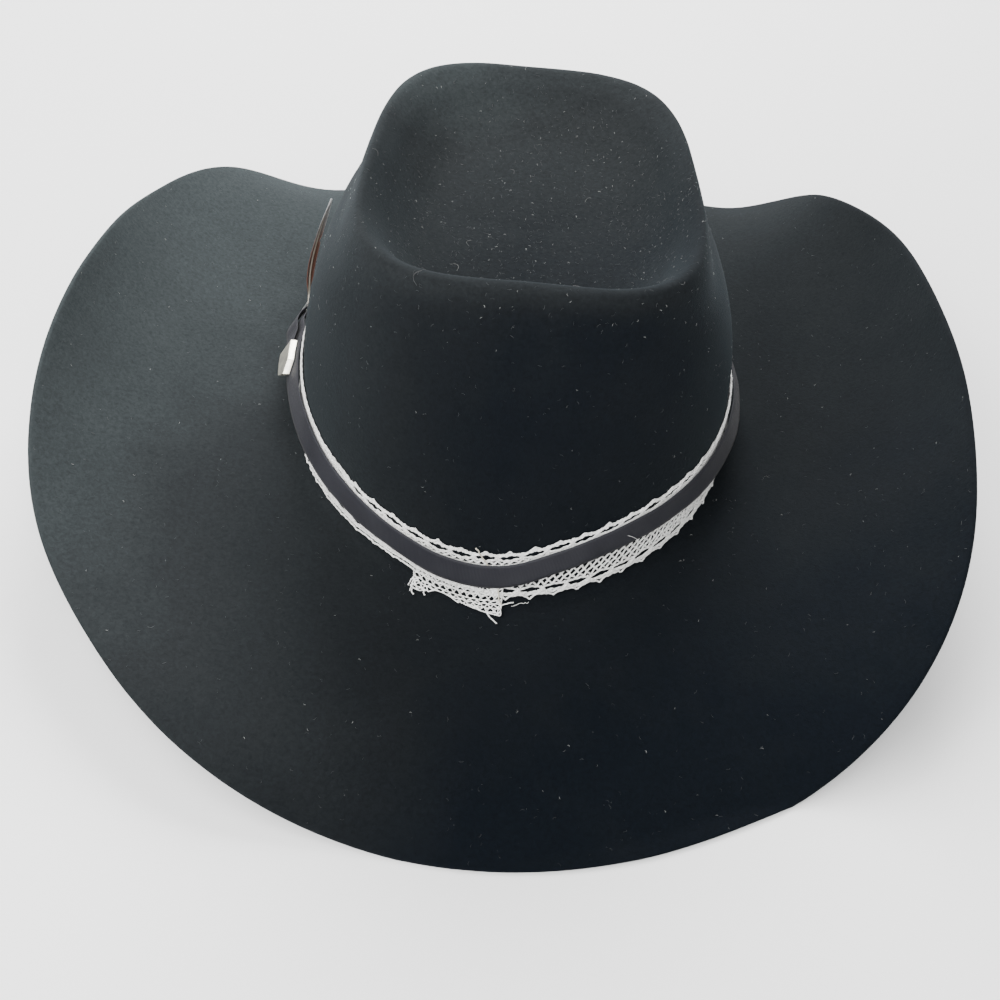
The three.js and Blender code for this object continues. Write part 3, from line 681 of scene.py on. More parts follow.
def makeLint():
    tree = scatterTree()
    fibreColors = {
        "fluff": ((0.022, 0.025, 0.027), (0.009, 0.011, 0.012)),
        "lint": ((0.26, 0.27, 0.26), (0.1, 0.1, 0.1)),
        "hair": ((0.13, 0.13, 0.125), (0.04, 0.04, 0.04)),
    }
    for name, (light, shaded) in fibreColors.items():
        form = lintForm[name]
        made = bpy.data.objects.new("felt" + name.capitalize(), feltCover.data.copy())
        bpy.context.scene.collection.objects.link(made)
        values = {
            "Density": form["density"],
            "Everywhere": lintForm["everywhere"],
            "Hair radius": form["radius"] * 0.001,
            "Length": form["length"] * 0.001,
            "Curl": form["curl"],
            "Lift": form["lift"] * 0.001,
            "Seed": form["seed"],
            "Material": makeThreadMaterial(name + "Fibre", light, shaded),
        }
        finishPiece(growMesh(made, tree, values), "felt")
    bpy.data.objects.remove(feltCover)


makeLint()

# The lace: plied threads in a net, with a row of long slots and a scalloped edge each side
laceForm = {
    "repeats": 60,
    "repeatLength": 9.8,
    "above": 12.5,
    "below": 19.5,
    "scallop": 1.9,
    "slotHalf": 0.6,
    "postShare": 0.5,
    "cellsPerRepeat": 3,
    "height": 0.86,
    "ply": 0.24,
    "thread": 0.215,
    "twist": 2.0,
    "step": 0.52,
    "wobble": 0.24,
    "seed": 11,
}
# Each side's slots, where its net starts and ends, the net's rows, and the degrees that are dense
laceSides = rowTable(
    ("slotMiddle", "netStart", "netEnd", "rowHeight", "denseFrom", "denseTo"),
    (
        (3.35, 4.7, 8.8, 1.35, -130, -43),  # above the ribbon
        (4.5, 6.2, 16.2, 1.75, -130, -6),  # below it
    ),
)


def resampled(path, step):
    path = np.asarray(path, float)
    lengths = np.concatenate([[0], np.cumsum(np.linalg.norm(np.diff(path, axis=0), axis=1))])
    count = max(2, int(round(lengths[-1] / step)) + 1)
    asked = np.linspace(0, lengths[-1], count)
    return np.stack([np.interp(asked, lengths, path[:, k]) for k in range(path.shape[1])], 1)


def plied(path, phase, plies=3, spread=None):  # path holds along, across and height in mm
    spread = laceForm["ply"] if spread is None else spread
    path = resampled(path, laceForm["step"])
    along = np.gradient(path[:, :2], axis=0)
    along /= np.maximum(np.linalg.norm(along, axis=1, keepdims=True), 1e-9)
    side = np.stack([-along[:, 1], along[:, 0]], 1)
    run = np.arange(len(path)) * laceForm["step"] / laceForm["twist"] * 2 * math.pi
    threads = []
    for k in range(plies):
        turn = run + phase + 2 * math.pi * k / plies
        offset = side * (np.cos(turn) * spread)[:, None]
        lift = np.sin(turn) * spread * 0.8
        threads.append(np.column_stack([path[:, :2] + offset, path[:, 2] + lift]))
    return threads


def laceNoise(flat, seed):
    broad, fine = softNoise(flat[..., :2], 7.0, seed), softNoise(flat[..., :2], 2.2, seed + 9)
    return (broad + 0.6 * fine) * laceForm["wobble"]


def pointAt(along):  # 0 at a point of the edge, 1 between two points
    share = np.mod(along / laceForm["repeatLength"] - 0.29 + 0.5, 1) - 0.5
    return 1 - np.exp(-np.abs(share) / 0.14)


def isDense(along, side):
    total = laceForm["repeats"] * laceForm["repeatLength"]
    angle = np.mod(along / total * 360 + 180, 360) - 180
    return (angle > laceSides["denseFrom"][side]) & (angle < laceSides["denseTo"][side])


def borderStrands(total, side):  # in mm along the edge and in from it
    x = np.arange(0, total + 0.3, 0.5)
    wave = np.cos(2 * math.pi * x / laceForm["repeatLength"] * laceForm["cellsPerRepeat"])
    calm = np.where(isDense(x, side), 0.35, 1.0)
    edge = pointAt(x) * laceForm["scallop"] * calm
    high = laceForm["height"]
    slotLow = laceSides["slotMiddle"][side] - laceForm["slotHalf"] - 0.5
    slotHigh = laceSides["slotMiddle"][side] + laceForm["slotHalf"] + 0.5
    share = np.mod(x / laceForm["repeatLength"], 1)
    bulge = 0.3 * np.cos(2 * math.pi * (share - 0.29)) * calm
    return [
        np.column_stack([x, 0.5 + edge, high + 0.1 * wave]),
        np.column_stack([x, (0.5 + edge) * 0.35 + slotLow * 0.62 + 0.25 * wave, high + 0.16 * wave]),
        np.column_stack([x, slotLow - 0.25 * wave - bulge * 0.4, high - 0.16 * wave]),
        np.column_stack([x, slotHigh + bulge + 0.12 * wave, high + 0.12 * wave]),
    ]


def postStrands(side):  # crossing strands that part the long slots
    strands = []
    length = laceForm["repeatLength"]
    low = laceSides["slotMiddle"][side] - laceForm["slotHalf"] - 0.6
    high = laceSides["slotMiddle"][side] + laceForm["slotHalf"] + 0.7
    for k in range(laceForm["repeats"]):
        centre = (k + 0.79) * length
        dense = bool(isDense(centre, side))
        half = (0.98 if dense else laceForm["postShare"]) * length / 2 - 0.5
        count = 7 if dense else 4
        for j in range(count):
            start, end = -half + 2 * half * j / (count - 1), half - 2 * half * j / (count - 1)
            lift = 0.15 if j % 2 else -0.12
            row = np.linspace(0, 1, 5)
            x = centre + start + (end - start) * row
            lifted = np.full(len(row), laceForm["height"] + lift)
            strands.append(np.column_stack([x, low + (high - low) * row, lifted]))
    return strands


def netStrands(total, side):  # two families of diagonals, over and under each other
    low, high = laceSides["netStart"][side], laceSides["netEnd"][side]
    rowHeight = laceSides["rowHeight"][side]
    cell = laceForm["repeatLength"] / laceForm["cellsPerRepeat"]
    slope = rowHeight / (cell / 2)
    strands = []
    for k in range(int(round(total / cell))):
        for way in (1, -1):
            w = np.arange(low, high + 0.01, rowHeight / 4)
            x = (k + 0.5) * cell + way * (w - low) / slope
            crossing = np.cos(math.pi * (w - low) / rowHeight)
            strands.append(np.column_stack([x, w, laceForm["height"] + way * 0.16 * crossing]))
    return strands


def keptRuns(points, kept):  # the stretches of a path where kept is true
    runs, current = [], []
    for point, isKept in zip(points, kept):
        if isKept:
            current.append(point)
        elif current:
            runs.append(np.array(current))
            current = []
    if current:
        runs.append(np.array(current))
    return [run for run in runs if len(run) > 2]


def bandPaths(runs):  # angle, across and height become places on the hat
    together = np.concatenate(runs)
    places = overBand(together[:, 0], together[:, 1], together[:, 2])
    return np.split(places, np.cumsum([len(run) for run in runs])[:-1])


def laceEdge(angle, isLower):
    column = "below" if isLower else "above"
    return laceForm[column] * roundValue(column, angle) * (-1 if isLower else 1)


def makeLace():
    rng = np.random.default_rng(laceForm["seed"])
    total = laceForm["repeats"] * laceForm["repeatLength"]
    white = makeThreadMaterial("whiteLaceThread", (0.97, 0.97, 0.95), (0.86, 0.86, 0.83), 60.0, 0.55)
    upper, lower = (borderStrands(total, n) + postStrands(n) + netStrands(total, n) for n in (0, 1))
    quarters = {"laceBack": [], "laceRight": [], "laceFront": [], "laceLeft": []}
    names = list(quarters)
    for strands, isLower in ((lower, True), (upper, False)):
        for strand in strands:
            for thread in plied(strand, rng.uniform(0, 6.28)):
                wobble = np.stack([laceNoise(thread, 21), laceNoise(thread, 22)], 1)
                along, inward = thread[:, 0] + wobble[:, 0], thread[:, 1] + wobble[:, 1]
                angle = along / total * 360
                across = laceEdge(angle, isLower) + (inward if isLower else -inward)
                shown = across < -3.9 if isLower else across > 3.9
                for run in keptRuns(np.column_stack([angle, across, thread[:, 2]]), shown):
                    quarter = np.floor(np.mod(run[:, 0] + 45, 360) / 90).astype(int)
                    cuts = np.flatnonzero(np.diff(quarter)) + 1
                    for part in np.split(np.arange(len(run)), cuts):
                        part = np.append(part, part[-1] + 1) if part[-1] + 1 < len(run) else part
                        if len(part) > 1:
                            quarters[names[quarter[part[0]]]].append(run[part])
    pieces = []
    for name, runs in quarters.items():
        pieces.append(threadObject(name, bandPaths(runs), laceForm["thread"], white))
    tape = makeLaceTape(white)
    finishPiece(pieces[0], "lace", "lace_band")
    for made in pieces[1:] + [tape]:
        finishPiece(made, "lace")
    return white


def makeLaceTape(material):  # the plain middle of the lace, under the ribbon
    angles = np.arange(0, 360, 1.5)
    across = np.linspace(-4.2, 4.2, 7)
    angle, v = np.meshgrid(angles, across, indexing="ij")
    outer, inner = overBand(angle, v, 1.15), overBand(angle, v, 0.5)
    ring = np.concatenate([outer, inner[:, ::-1]], axis=1)
    faces = gridFaces(ring.shape[0], ring.shape[1], True)
    rows = ring.shape[1]
    count = len(angles)
    for c in range(count):
        a, b = c * rows, ((c + 1) % count) * rows
        faces.append([a, a + rows - 1, b + rows - 1, b])
    made = meshObject("laceTape", ring, faces, material)
    return closeMesh(made)


whiteThread = makeLace()

# Where the lace's two ends meet at the back: a frayed flap, thread ends, a seam and hairs.
# Depths are in mm below the ribbon's centre.
joinForm = {
    "thread": 0.22,
    "height": 1.35,
    "topDepth": 5.2,
    "frayAngle": -22.0,
    "frayDepth": 17.5,
    "middleDepth": 13.0,
    "cornerAngle": 0.8,
    "cornerDepth": 19.5,
    "crossing": 1.75,  # degrees between two slanting threads
    "slant": 0.5,
    "rowGap": 2.3,
    "rows": 6,
}
# Each loose line starts at a place, runs a length in mm on a heading, and bends as it goes
looseColumns = ("angle", "across", "length", "heading", "bend")
threadEnds = (
    (-3, -16.5, 9, -50, 25),
    (0, -19.5, 11, 40, -110),
    (-20.5, -12, 8, -100, 60),
    (-21, -17, 4, -60, 90),
    (-22, -13, 5, -100, 50),
    (-18.5, -15.5, 3, -60, 60),
)
seamLines = ((-7, 12.5, 10, -50, -15), (-0.5, -5, 9, -75, 10))
looseHairs = ((3, -16, 9, 20, 70), (30, 0.5, 8, -40, -15))


def flapDepth(angle):  # how far down the flap hangs
    form = joinForm
    fray = (form["frayDepth"] - form["middleDepth"]) * (1 - ease(angle, -20, -15))
    corner = (form["cornerDepth"] - form["middleDepth"]) * np.clip((angle + 14) / 14.5, 0, 1)
    return form["middleDepth"] + fray + corner


def flapOutline():
    form = joinForm
    angles = np.linspace(form["frayAngle"], form["cornerAngle"], 40)
    lower = np.column_stack([angles, -flapDepth(angles)])
    left, right = ([[angle, -form["topDepth"]]] for angle in (form["frayAngle"], form["cornerAngle"]))
    return np.concatenate([left, lower, right])


def onFlap(line):
    angle, depth = line[:, 0], -line[:, 1]
    between = (angle > joinForm["frayAngle"]) & (angle < joinForm["cornerAngle"])
    return between & (depth > joinForm["topDepth"]) & (depth < flapDepth(angle))


def looseLine(row):
    start = dict(zip(looseColumns, row))
    share = np.linspace(0, 1, 12)
    way = np.radians(start["heading"] + start["bend"] * (share - 0.5))
    step = start["length"] / len(share)
    angle = start["angle"] + np.cumsum(np.cos(way)) * step / millimetresPerDegree
    return np.column_stack([angle, start["across"] + np.cumsum(np.sin(way)) * step])


def joinThreads(lines, high, plies=2):  # lines of degrees and mm become plied threads
    runs = []
    for number, line in enumerate(lines):
        flat = np.column_stack([line[:, 0] * millimetresPerDegree, line[:, 1], np.full(len(line), high)])
        for thread in plied(flat, number * 1.3, plies, 0.16):
            soft = resampled(thread, 0.45)
            soft[1:-1] = (soft[:-2] + soft[1:-1] + soft[2:]) / 3
            soft[:, 0] = (soft[:, 0] + laceNoise(soft, 41) * 0.8) / millimetresPerDegree
            soft[:, 1] += laceNoise(soft, 42) * 0.8
            runs.append(soft)
    return bandPaths(runs)


def makeLaceJoin(white):
    form = joinForm
    lines = [flapOutline()]
    across = np.arange(-21.0, -4.0, 0.35)
    for k in range(-30, 20):
        for way in (1, -1):
            line = np.column_stack([k * form["crossing"] + way * (across + 12) * form["slant"], across])
            lines += keptRuns(line, onFlap(line))
    angles = np.arange(-24, 3, 0.3)
    for k in range(form["rows"]):
        wave = 0.25 * np.sin(angles * 2.2 + k)
        line = np.column_stack([angles, wave - form["topDepth"] - 1.4 - k * form["rowGap"]])
        lines += keptRuns(line, onFlap(line))
    lines += [looseLine(row) for row in threadEnds]
    finishPiece(threadObject("laceJoin", joinThreads(lines, form["height"]), form["thread"], white), "lace")
    beige = makeThreadMaterial("beigeSeamThread", (0.62, 0.58, 0.48), (0.4, 0.37, 0.3))
    seams = joinThreads([looseLine(row) for row in seamLines], form["height"] + 0.55, 3)
    finishPiece(threadObject("laceSeam", seams, 0.24, beige), "lace")
    hairs = [looseLine(row) for row in looseHairs]
    paths = bandPaths([resampled(np.column_stack([hair, np.full(len(hair), 3.3)]), 0.4) for hair in hairs])
    finishPiece(threadObject("strayHairs", paths, 0.09, white), "lace")


# The ribbon: one strip round the crown whose tail lies over its own start
ribbonForm = {
    "wall": 0.55,
    "outer": 2.6,
    "tailOuter": 4.7,
    "tailEnd": -87.0,
    "tailSpan": 34.0,
    "tailWidth": 7.0,
    "keeperAngle": -108.0,
    "columns": 900,
    "crossRows": 9,
    "selvedge": 0.14,
    "ribPitch": 0.62,
    "color": (0.0138, 0.0142, 0.0195),
    "worn": (0.024, 0.0245, 0.031),
}
featherAngle = -100.0
quillWall = 1.2
quillWidth = 2.2
millimetresPerDegree = float(
    np.linalg.norm(overBand(featherAngle + 1, 0, 1.7) - overBand(featherAngle, 0, 1.7))
)

makeLaceJoin(whiteThread)


def overQuill(angle):  # the ribbon rises over the feather's quill
    near = np.abs(angle - featherAngle)
    reach = 4 * quillWidth / millimetresPerDegree
    return (quillWall + hatForm["clearance"]) * (1 - ease(near, quillWidth / 2 / millimetresPerDegree, reach))


def ribbonOuter(angle):
    start = ribbonForm["tailEnd"] - ribbonForm["tailSpan"]
    tail = ease(angle, start - 8, start)
    bump = overQuill(angle) + overQuill(angle + 360)
    return ribbonForm["outer"] + (ribbonForm["tailOuter"] - ribbonForm["outer"]) * tail + bump


def makeRibbonMaterial():
    material, tree, shader = newTree("grosgrainRibbon")
    link = tree.links.new
    uv = addNode(tree, "ShaderNodeUVMap", uv_map="along")
    uneven = {"Scale": 1.0, "Distortion": 0.25, "Detail": 1.0, "Detail Scale": 3.0}
    ribs = addNode(tree, "ShaderNodeTexWave", uneven)
    ribs.wave_type, ribs.bands_direction, ribs.wave_profile = "BANDS", "X", "SIN"
    link(uv.outputs["UV"], ribs.inputs["Vector"])
    where = addNode(tree, "ShaderNodeTexCoord").outputs["Object"]
    fibre = addNode(tree, "ShaderNodeGroup", node_tree=grain)
    fibre.inputs["Grain"].default_value = 1800.0
    fibre.inputs["Mottle"].default_value = 55.0
    link(where, fibre.inputs["Vector"])
    cloth = rampNode(tree, ((0.3, ribbonForm["color"]), (0.75, ribbonForm["worn"])))
    link(fibre.outputs["Mottle"], cloth.inputs["Fac"])
    shade = addNode(tree, "ShaderNodeMix", data_type="RGBA", blend_type="MULTIPLY")
    shade.inputs["Factor"].default_value = 0.35
    link(cloth.outputs["Color"], shade.inputs["A"])
    link(ribs.outputs["Color"], shade.inputs["B"])
    link(shade.outputs["Result"], shader.inputs["Base Color"])
    height = addNode(tree, "ShaderNodeMath", operation="MULTIPLY_ADD")
    link(fibre.outputs["Height"], height.inputs[0])
    height.inputs[1].default_value = 0.25
    link(ribs.outputs["Fac"], height.inputs[2])
    bump = addNode(tree, "ShaderNodeBump", {"Strength": 0.6, "Distance": 0.00012})
    link(height.outputs[0], bump.inputs["Height"])
    link(bump.outputs["Normal"], shader.inputs["Normal"])
    shader.inputs["Roughness"].default_value = 0.62
    shader.inputs["Specular IOR Level"].default_value = 0.3
    shader.inputs["Sheen Weight"].default_value = 0.06
    shader.inputs["Sheen Roughness"].default_value = 0.4
    return material


def makeRibbon():
    form = ribbonForm
    start = form["tailEnd"] - 360 - form["tailSpan"] + 2
    angles = np.linspace(start, form["tailEnd"], form["columns"])
    shares = np.linspace(0, 1, form["crossRows"])
    angle, share = np.meshgrid(angles, shares, indexing="ij")
    towardsTip = ease(angle, form["keeperAngle"], form["tailEnd"])
    narrowing = (hatForm["ribbonWidth"] - form["tailWidth"]) * towardsTip
    across = (share - 0.5) * hatForm["ribbonWidth"] - share * narrowing
    nearEdge = np.abs(share - 0.5) * 2
    bead = form["selvedge"] * np.exp(-(((nearEdge - 0.93) / 0.06) ** 2))
    rounding = 0.12 * ease(nearEdge, 0.95, 1.0)
    wave = 0.12 * softNoise(np.stack([angle * 1.7, across], -1), 24.0, 31)
    outer = ribbonOuter(angle) + bead - rounding + wave - 0.1
    inner = outer - form["wall"] + 2 * rounding
    skins = [overRibbon(angle, across, outer), overRibbon(angle, across, inner)]
    ring = np.concatenate([skins[0], skins[1][:, ::-1]], axis=1)
    columns, rows = ring.shape[:2]
    faces = gridFaces(columns, rows, False)
    for c in range(columns - 1):
        a, b = c * rows, (c + 1) * rows
        faces.append([a, a + rows - 1, b + rows - 1, b])
    for c in (0, columns - 1):
        for r in range(form["crossRows"] - 1):
            a, b = c * rows + r, c * rows + rows - 1 - r
            faces.append([a, a + 1, b - 1, b] if c else [b, b - 1, a + 1, a])
    made = meshObject("hatRibbon", ring, faces, makeRibbonMaterial())
    ribs = millimetresPerDegree / form["ribPitch"] / math.pi
    along = np.concatenate([angle, angle[:, ::-1]], axis=1) * ribs
    sideways = np.concatenate([across, across[:, ::-1]], axis=1)
    layer = made.data.uv_layers.new(name="along")
    index = np.zeros(len(made.data.loops), int)
    made.data.loops.foreach_get("vertex_index", index)
    uv = np.stack([along.ravel()[index], sideways.ravel()[index] / 10], 1)
    layer.data.foreach_set("uv", uv.astype(np.float32).ravel())
    closeMesh(made)
    return finishPiece(made, "ribbon", "ribbon")


ribbon = makeRibbon()

# The metal keeper and the metal tip on the ribbon's tail
metalForm = {
    "wall": 0.5,
    "bevel": 0.16,
    "keeperLength": 5.0,
    "tipLength": 17.0,
    "tipPoint": 4.0,
    "tipPocket": 8.0,
    "bright": (0.93, 0.92, 0.88),
    "worn": (0.72, 0.7, 0.62),
    "roughness": 0.34,
}


def makeMetalMaterial(name, bright, worn):
    material, tree, shader = newTree(name)
    link = tree.links.new
    where = addNode(tree, "ShaderNodeTexCoord").outputs["Object"]
    fibre = addNode(tree, "ShaderNodeGroup", node_tree=grain)
    fibre.inputs["Grain"].default_value = 420.0
    fibre.inputs["Mottle"].default_value = 300.0
    link(where, fibre.inputs["Vector"])
    face = rampNode(tree, ((0.35, worn), (0.6, bright)))
    link(fibre.outputs["Mottle"], face.inputs["Fac"])
    link(face.outputs["Color"], shader.inputs["Base Color"])
    rough = metalForm["roughness"]
    scuffed = addNode(tree, "ShaderNodeMapRange", {"To Min": rough - 0.08, "To Max": rough + 0.16})
    link(fibre.outputs["Height"], scuffed.inputs["Value"])
    link(scuffed.outputs["Result"], shader.inputs["Roughness"])
    bump = addNode(tree, "ShaderNodeBump", {"Strength": 0.15, "Distance": 0.0001})
    link(fibre.outputs["Height"], bump.inputs["Height"])
    link(bump.outputs["Normal"], shader.inputs["Normal"])
    shader.inputs["Metallic"].default_value = 0.85
    return material


def bentPlate(name, corners, low, high, angle, middle, cuts, material, pocket=None):
    def prism(outline, bottom, top):  # a flat outline raised from one height to another
        work = bmesh.new()
        face = work.faces.new([work.verts.new((x, y, bottom)) for x, y in outline])
        raised = bmesh.ops.extrude_face_region(work, geom=[face])["geom"]
        lifted = [v for v in raised if isinstance(v, bmesh.types.BMVert)]
        bmesh.ops.translate(work, vec=(0, 0, top - bottom), verts=lifted)
        bmesh.ops.recalc_face_normals(work, faces=work.faces)
        return work

    body = prism(corners, low, high)
    sharp = [edge for edge in body.edges if edge.calc_face_angle(0) > 0.6]
    bmesh.ops.bevel(body, geom=sharp, offset=metalForm["bevel"], segments=3, profile=0.5, affect="EDGES")
    mesh = bpy.data.meshes.new(name)
    body.to_mesh(mesh)
    body.free()
    made = bpy.data.objects.new(name, mesh)
    bpy.context.scene.collection.objects.link(made)
    if pocket:
        hollow = prism(*pocket)
        cutterMesh = bpy.data.meshes.new("pocket")
        hollow.to_mesh(cutterMesh)
        hollow.free()
        cutter = bpy.data.objects.new("pocket", cutterMesh)
        bpy.context.scene.collection.objects.link(cutter)
        modifier = made.modifiers.new("cut", "BOOLEAN")
        modifier.operation, modifier.solver, modifier.object = "DIFFERENCE", "EXACT", cutter
        view = bpy.context.evaluated_depsgraph_get()
        made.data = bpy.data.meshes.new_from_object(made.evaluated_get(view))
        made.modifiers.clear()
        bpy.data.objects.remove(cutter)
    work = bmesh.new()
    work.from_mesh(made.data)
    for axis, positions in enumerate(cuts):
        for position in positions:
            spot, normal = [0, 0, 0], [0, 0, 0]
            spot[axis], normal[axis] = position, 1
            geometry = work.verts[:] + work.edges[:] + work.faces[:]
            bmesh.ops.bisect_plane(work, geom=geometry, plane_co=spot, plane_no=normal)
    flat = np.array([v.co for v in work.verts], float)
    along = flat[:, 0] / millimetresPerDegree
    bent = (overRibbon(angle + along, middle + flat[:, 1], flat[:, 2]) - origin) * 0.001
    for vertex, place in zip(work.verts, bent):
        vertex.co = place
    work.to_mesh(made.data)
    work.free()
    made.data.materials.clear()
    made.data.materials.append(material)
    for polygon in made.data.polygons:
        polygon.use_smooth = True
    made.data.set_sharp_from_angle(angle=math.radians(38))
    return made


def makeKeeper(material):
    inside = hatForm["ribbonWidth"] / 2 + hatForm["clearance"]
    outside = inside + metalForm["wall"]
    base, top = 1.7, ribbonForm["tailOuter"] + hatForm["clearance"]
    length = metalForm["keeperLength"] / 2
    box = [(-length, -outside), (length, -outside), (length, outside), (-length, outside)]
    past = length + 1
    hollow = [(-past, -inside), (past, -inside), (past, inside), (-past, inside)]
    pocket = (hollow, base - 1, top)
    cuts = [np.linspace(-length, length, 7)[1:-1], np.linspace(-outside, outside, 9)[1:-1]]
    high = top + metalForm["wall"]
    angle = ribbonForm["keeperAngle"]
    made = bentPlate("metalKeeper", box, base, high, angle, 0, cuts, material, pocket)
    return finishPiece(made, "metal", "keeper")


def makeTip(material):
    wall, gap = metalForm["wall"], hatForm["clearance"]
    half = ribbonForm["tailWidth"] / 2 + gap + wall
    middle = (ribbonForm["tailWidth"] - hatForm["ribbonWidth"]) / 2
    low, high = 3.8 - gap - wall, ribbonForm["tailOuter"] + gap + wall
    square, length = metalForm["tipLength"] - metalForm["tipPoint"], metalForm["tipLength"]
    outline = [(0, -half), (square, -half), (length, 0), (square, half), (0, half)]
    inner = half - wall
    end = metalForm["tipPocket"] + gap
    pocket = ([(-1, -inner), (end, -inner), (end, inner), (-1, inner)], low + wall, high - wall)
    cuts = [np.linspace(0, length, 14)[1:-1], np.linspace(-half, half, 7)[1:-1]]
    angle = ribbonForm["tailEnd"] - metalForm["tipPocket"] / millimetresPerDegree
    made = bentPlate("ribbonTip", outline, low, high, angle, middle, cuts, material, pocket)
    return finishPiece(made, "metal", "ribbon_tip")


makeKeeper(makeMetalMaterial("keeperMetal", metalForm["bright"], (0.8, 0.8, 0.78)))
makeTip(makeMetalMaterial("tipMetal", (0.93, 0.9, 0.78), metalForm["worn"]))

# The feather: a quill and barbs that lie close beside each other
featherForm = {
    "length": 67.0,
    "width": 7.0,
    "twist": 14.0,
    "barbs": 210,
    "barbWidth": 0.5,
    "barbWall": 0.12,
    "barbSteps": 7,
    "sweep": 0.16,
    "seed": 3,
}
featherShape = rowTable(
    ("along", "left", "right", "twist"),
    (
        (0, 0, 0, 0),
        (0.3, 0, 0, 0.3),
        (0.36, 0.28, 0.34, 0.6),
        (0.46, 0.42, 0.5, 0.9),
        (0.58, 0.46, 0.56, 1),
        (0.66, 0.45, 0.54, 1),
        (0.69, 0.2, 0.5, 1),
        (0.72, 0.42, 0.48, 1),
        (0.86, 0.36, 0.4, 1),
        (0.94, 0.22, 0.22, 1),
        (1, 0.03, 0.03, 1),
    ),
)


def featherFrames():  # the quill's centre, with the vane's sideways and upward directions
    along = np.linspace(0, 1, 301)
    foot = hatForm["bandHeight"] * roundValue("band", featherAngle) - hatForm["ribbonWidth"] / 2
    run = foot + featherForm["length"] * along
    twist = np.radians(featherForm["twist"]) * np.interp(along, featherShape["along"], featherShape["twist"])
    height = 1.7 + quillWall / 2 + np.sin(twist) * featherForm["width"] * 0.5
    centre = overFelt(run, featherAngle, height)
    normal = unit(overFelt(run, featherAngle, height + 1) - centre)
    side = unit(overFelt(run, featherAngle + 0.5, height) - centre)
    across = side * np.cos(twist)[..., None] + normal * np.sin(twist)[..., None]
    up = normal * np.cos(twist)[..., None] - side * np.sin(twist)[..., None]
    return along, centre, across, up


featherLine = featherFrames()


def featherFrame(share):
    along = featherLine[0]
    picked = [
        np.stack([np.interp(share, along, part[:, k]) for k in range(3)], -1) for part in featherLine[1:]
    ]
    return picked[0], unit(picked[1]), unit(picked[2])


def makeFeatherMaterial():
    material, tree, shader = newTree("featherVane")
    link = tree.links.new
    along = addNode(tree, "ShaderNodeAttribute", attribute_name="along").outputs["Fac"]
    edge = addNode(tree, "ShaderNodeAttribute", attribute_name="edge").outputs["Fac"]
    length = rampNode(
        tree,
        (
            (0.0, (0.62, 0.58, 0.5)),
            (0.3, (0.5, 0.42, 0.32)),
            (0.42, (0.16, 0.06, 0.03)),
            (0.62, (0.2, 0.1, 0.055)),
            (0.76, (0.17, 0.15, 0.14)),
            (1.0, (0.34, 0.35, 0.35)),
        ),
    )
    link(along, length.inputs["Fac"])
    rust = addNode(tree, "ShaderNodeMix", data_type="RGBA")
    toneShare = addNode(tree, "ShaderNodeMapRange", {"From Min": 0.82, "From Max": 0.6, "To Max": 0.75})
    link(along, toneShare.inputs["Value"])
    outer = addNode(tree, "ShaderNodeMath", operation="MULTIPLY")
    link(edge, outer.inputs[0])
    link(toneShare.outputs["Result"], outer.inputs[1])
    link(outer.outputs[0], rust.inputs["Factor"])
    link(length.outputs["Color"], rust.inputs["A"])
    rust.inputs["B"].default_value = (0.15, 0.035, 0.015, 1)
    link(rust.outputs["Result"], shader.inputs["Base Color"])
    where = addNode(tree, "ShaderNodeTexCoord").outputs["Object"]
    fibre = addNode(tree, "ShaderNodeGroup", node_tree=grain)
    fibre.inputs["Grain"].default_value = 2400.0
    link(where, fibre.inputs["Vector"])
    bump = addNode(tree, "ShaderNodeBump", {"Strength": 0.35, "Distance": 0.0001})
    link(fibre.outputs["Height"], bump.inputs["Height"])
    link(bump.outputs["Normal"], shader.inputs["Normal"])
    shader.inputs["Roughness"].default_value = 0.5
    shader.inputs["Sheen Weight"].default_value = 0.2
    return material


def tubeFaces(rings, sides):  # quads and end caps of a tube whose rings follow each other
    faces = []
    for k in range(rings - 1):
        for s in range(sides):
            n = (s + 1) % sides
            faces.append([k * sides + s, k * sides + n, (k + 1) * sides + n, (k + 1) * sides + s])
    last = (rings - 1) * sides
    return faces + [list(range(sides))[::-1], [last + s for s in range(sides)]]


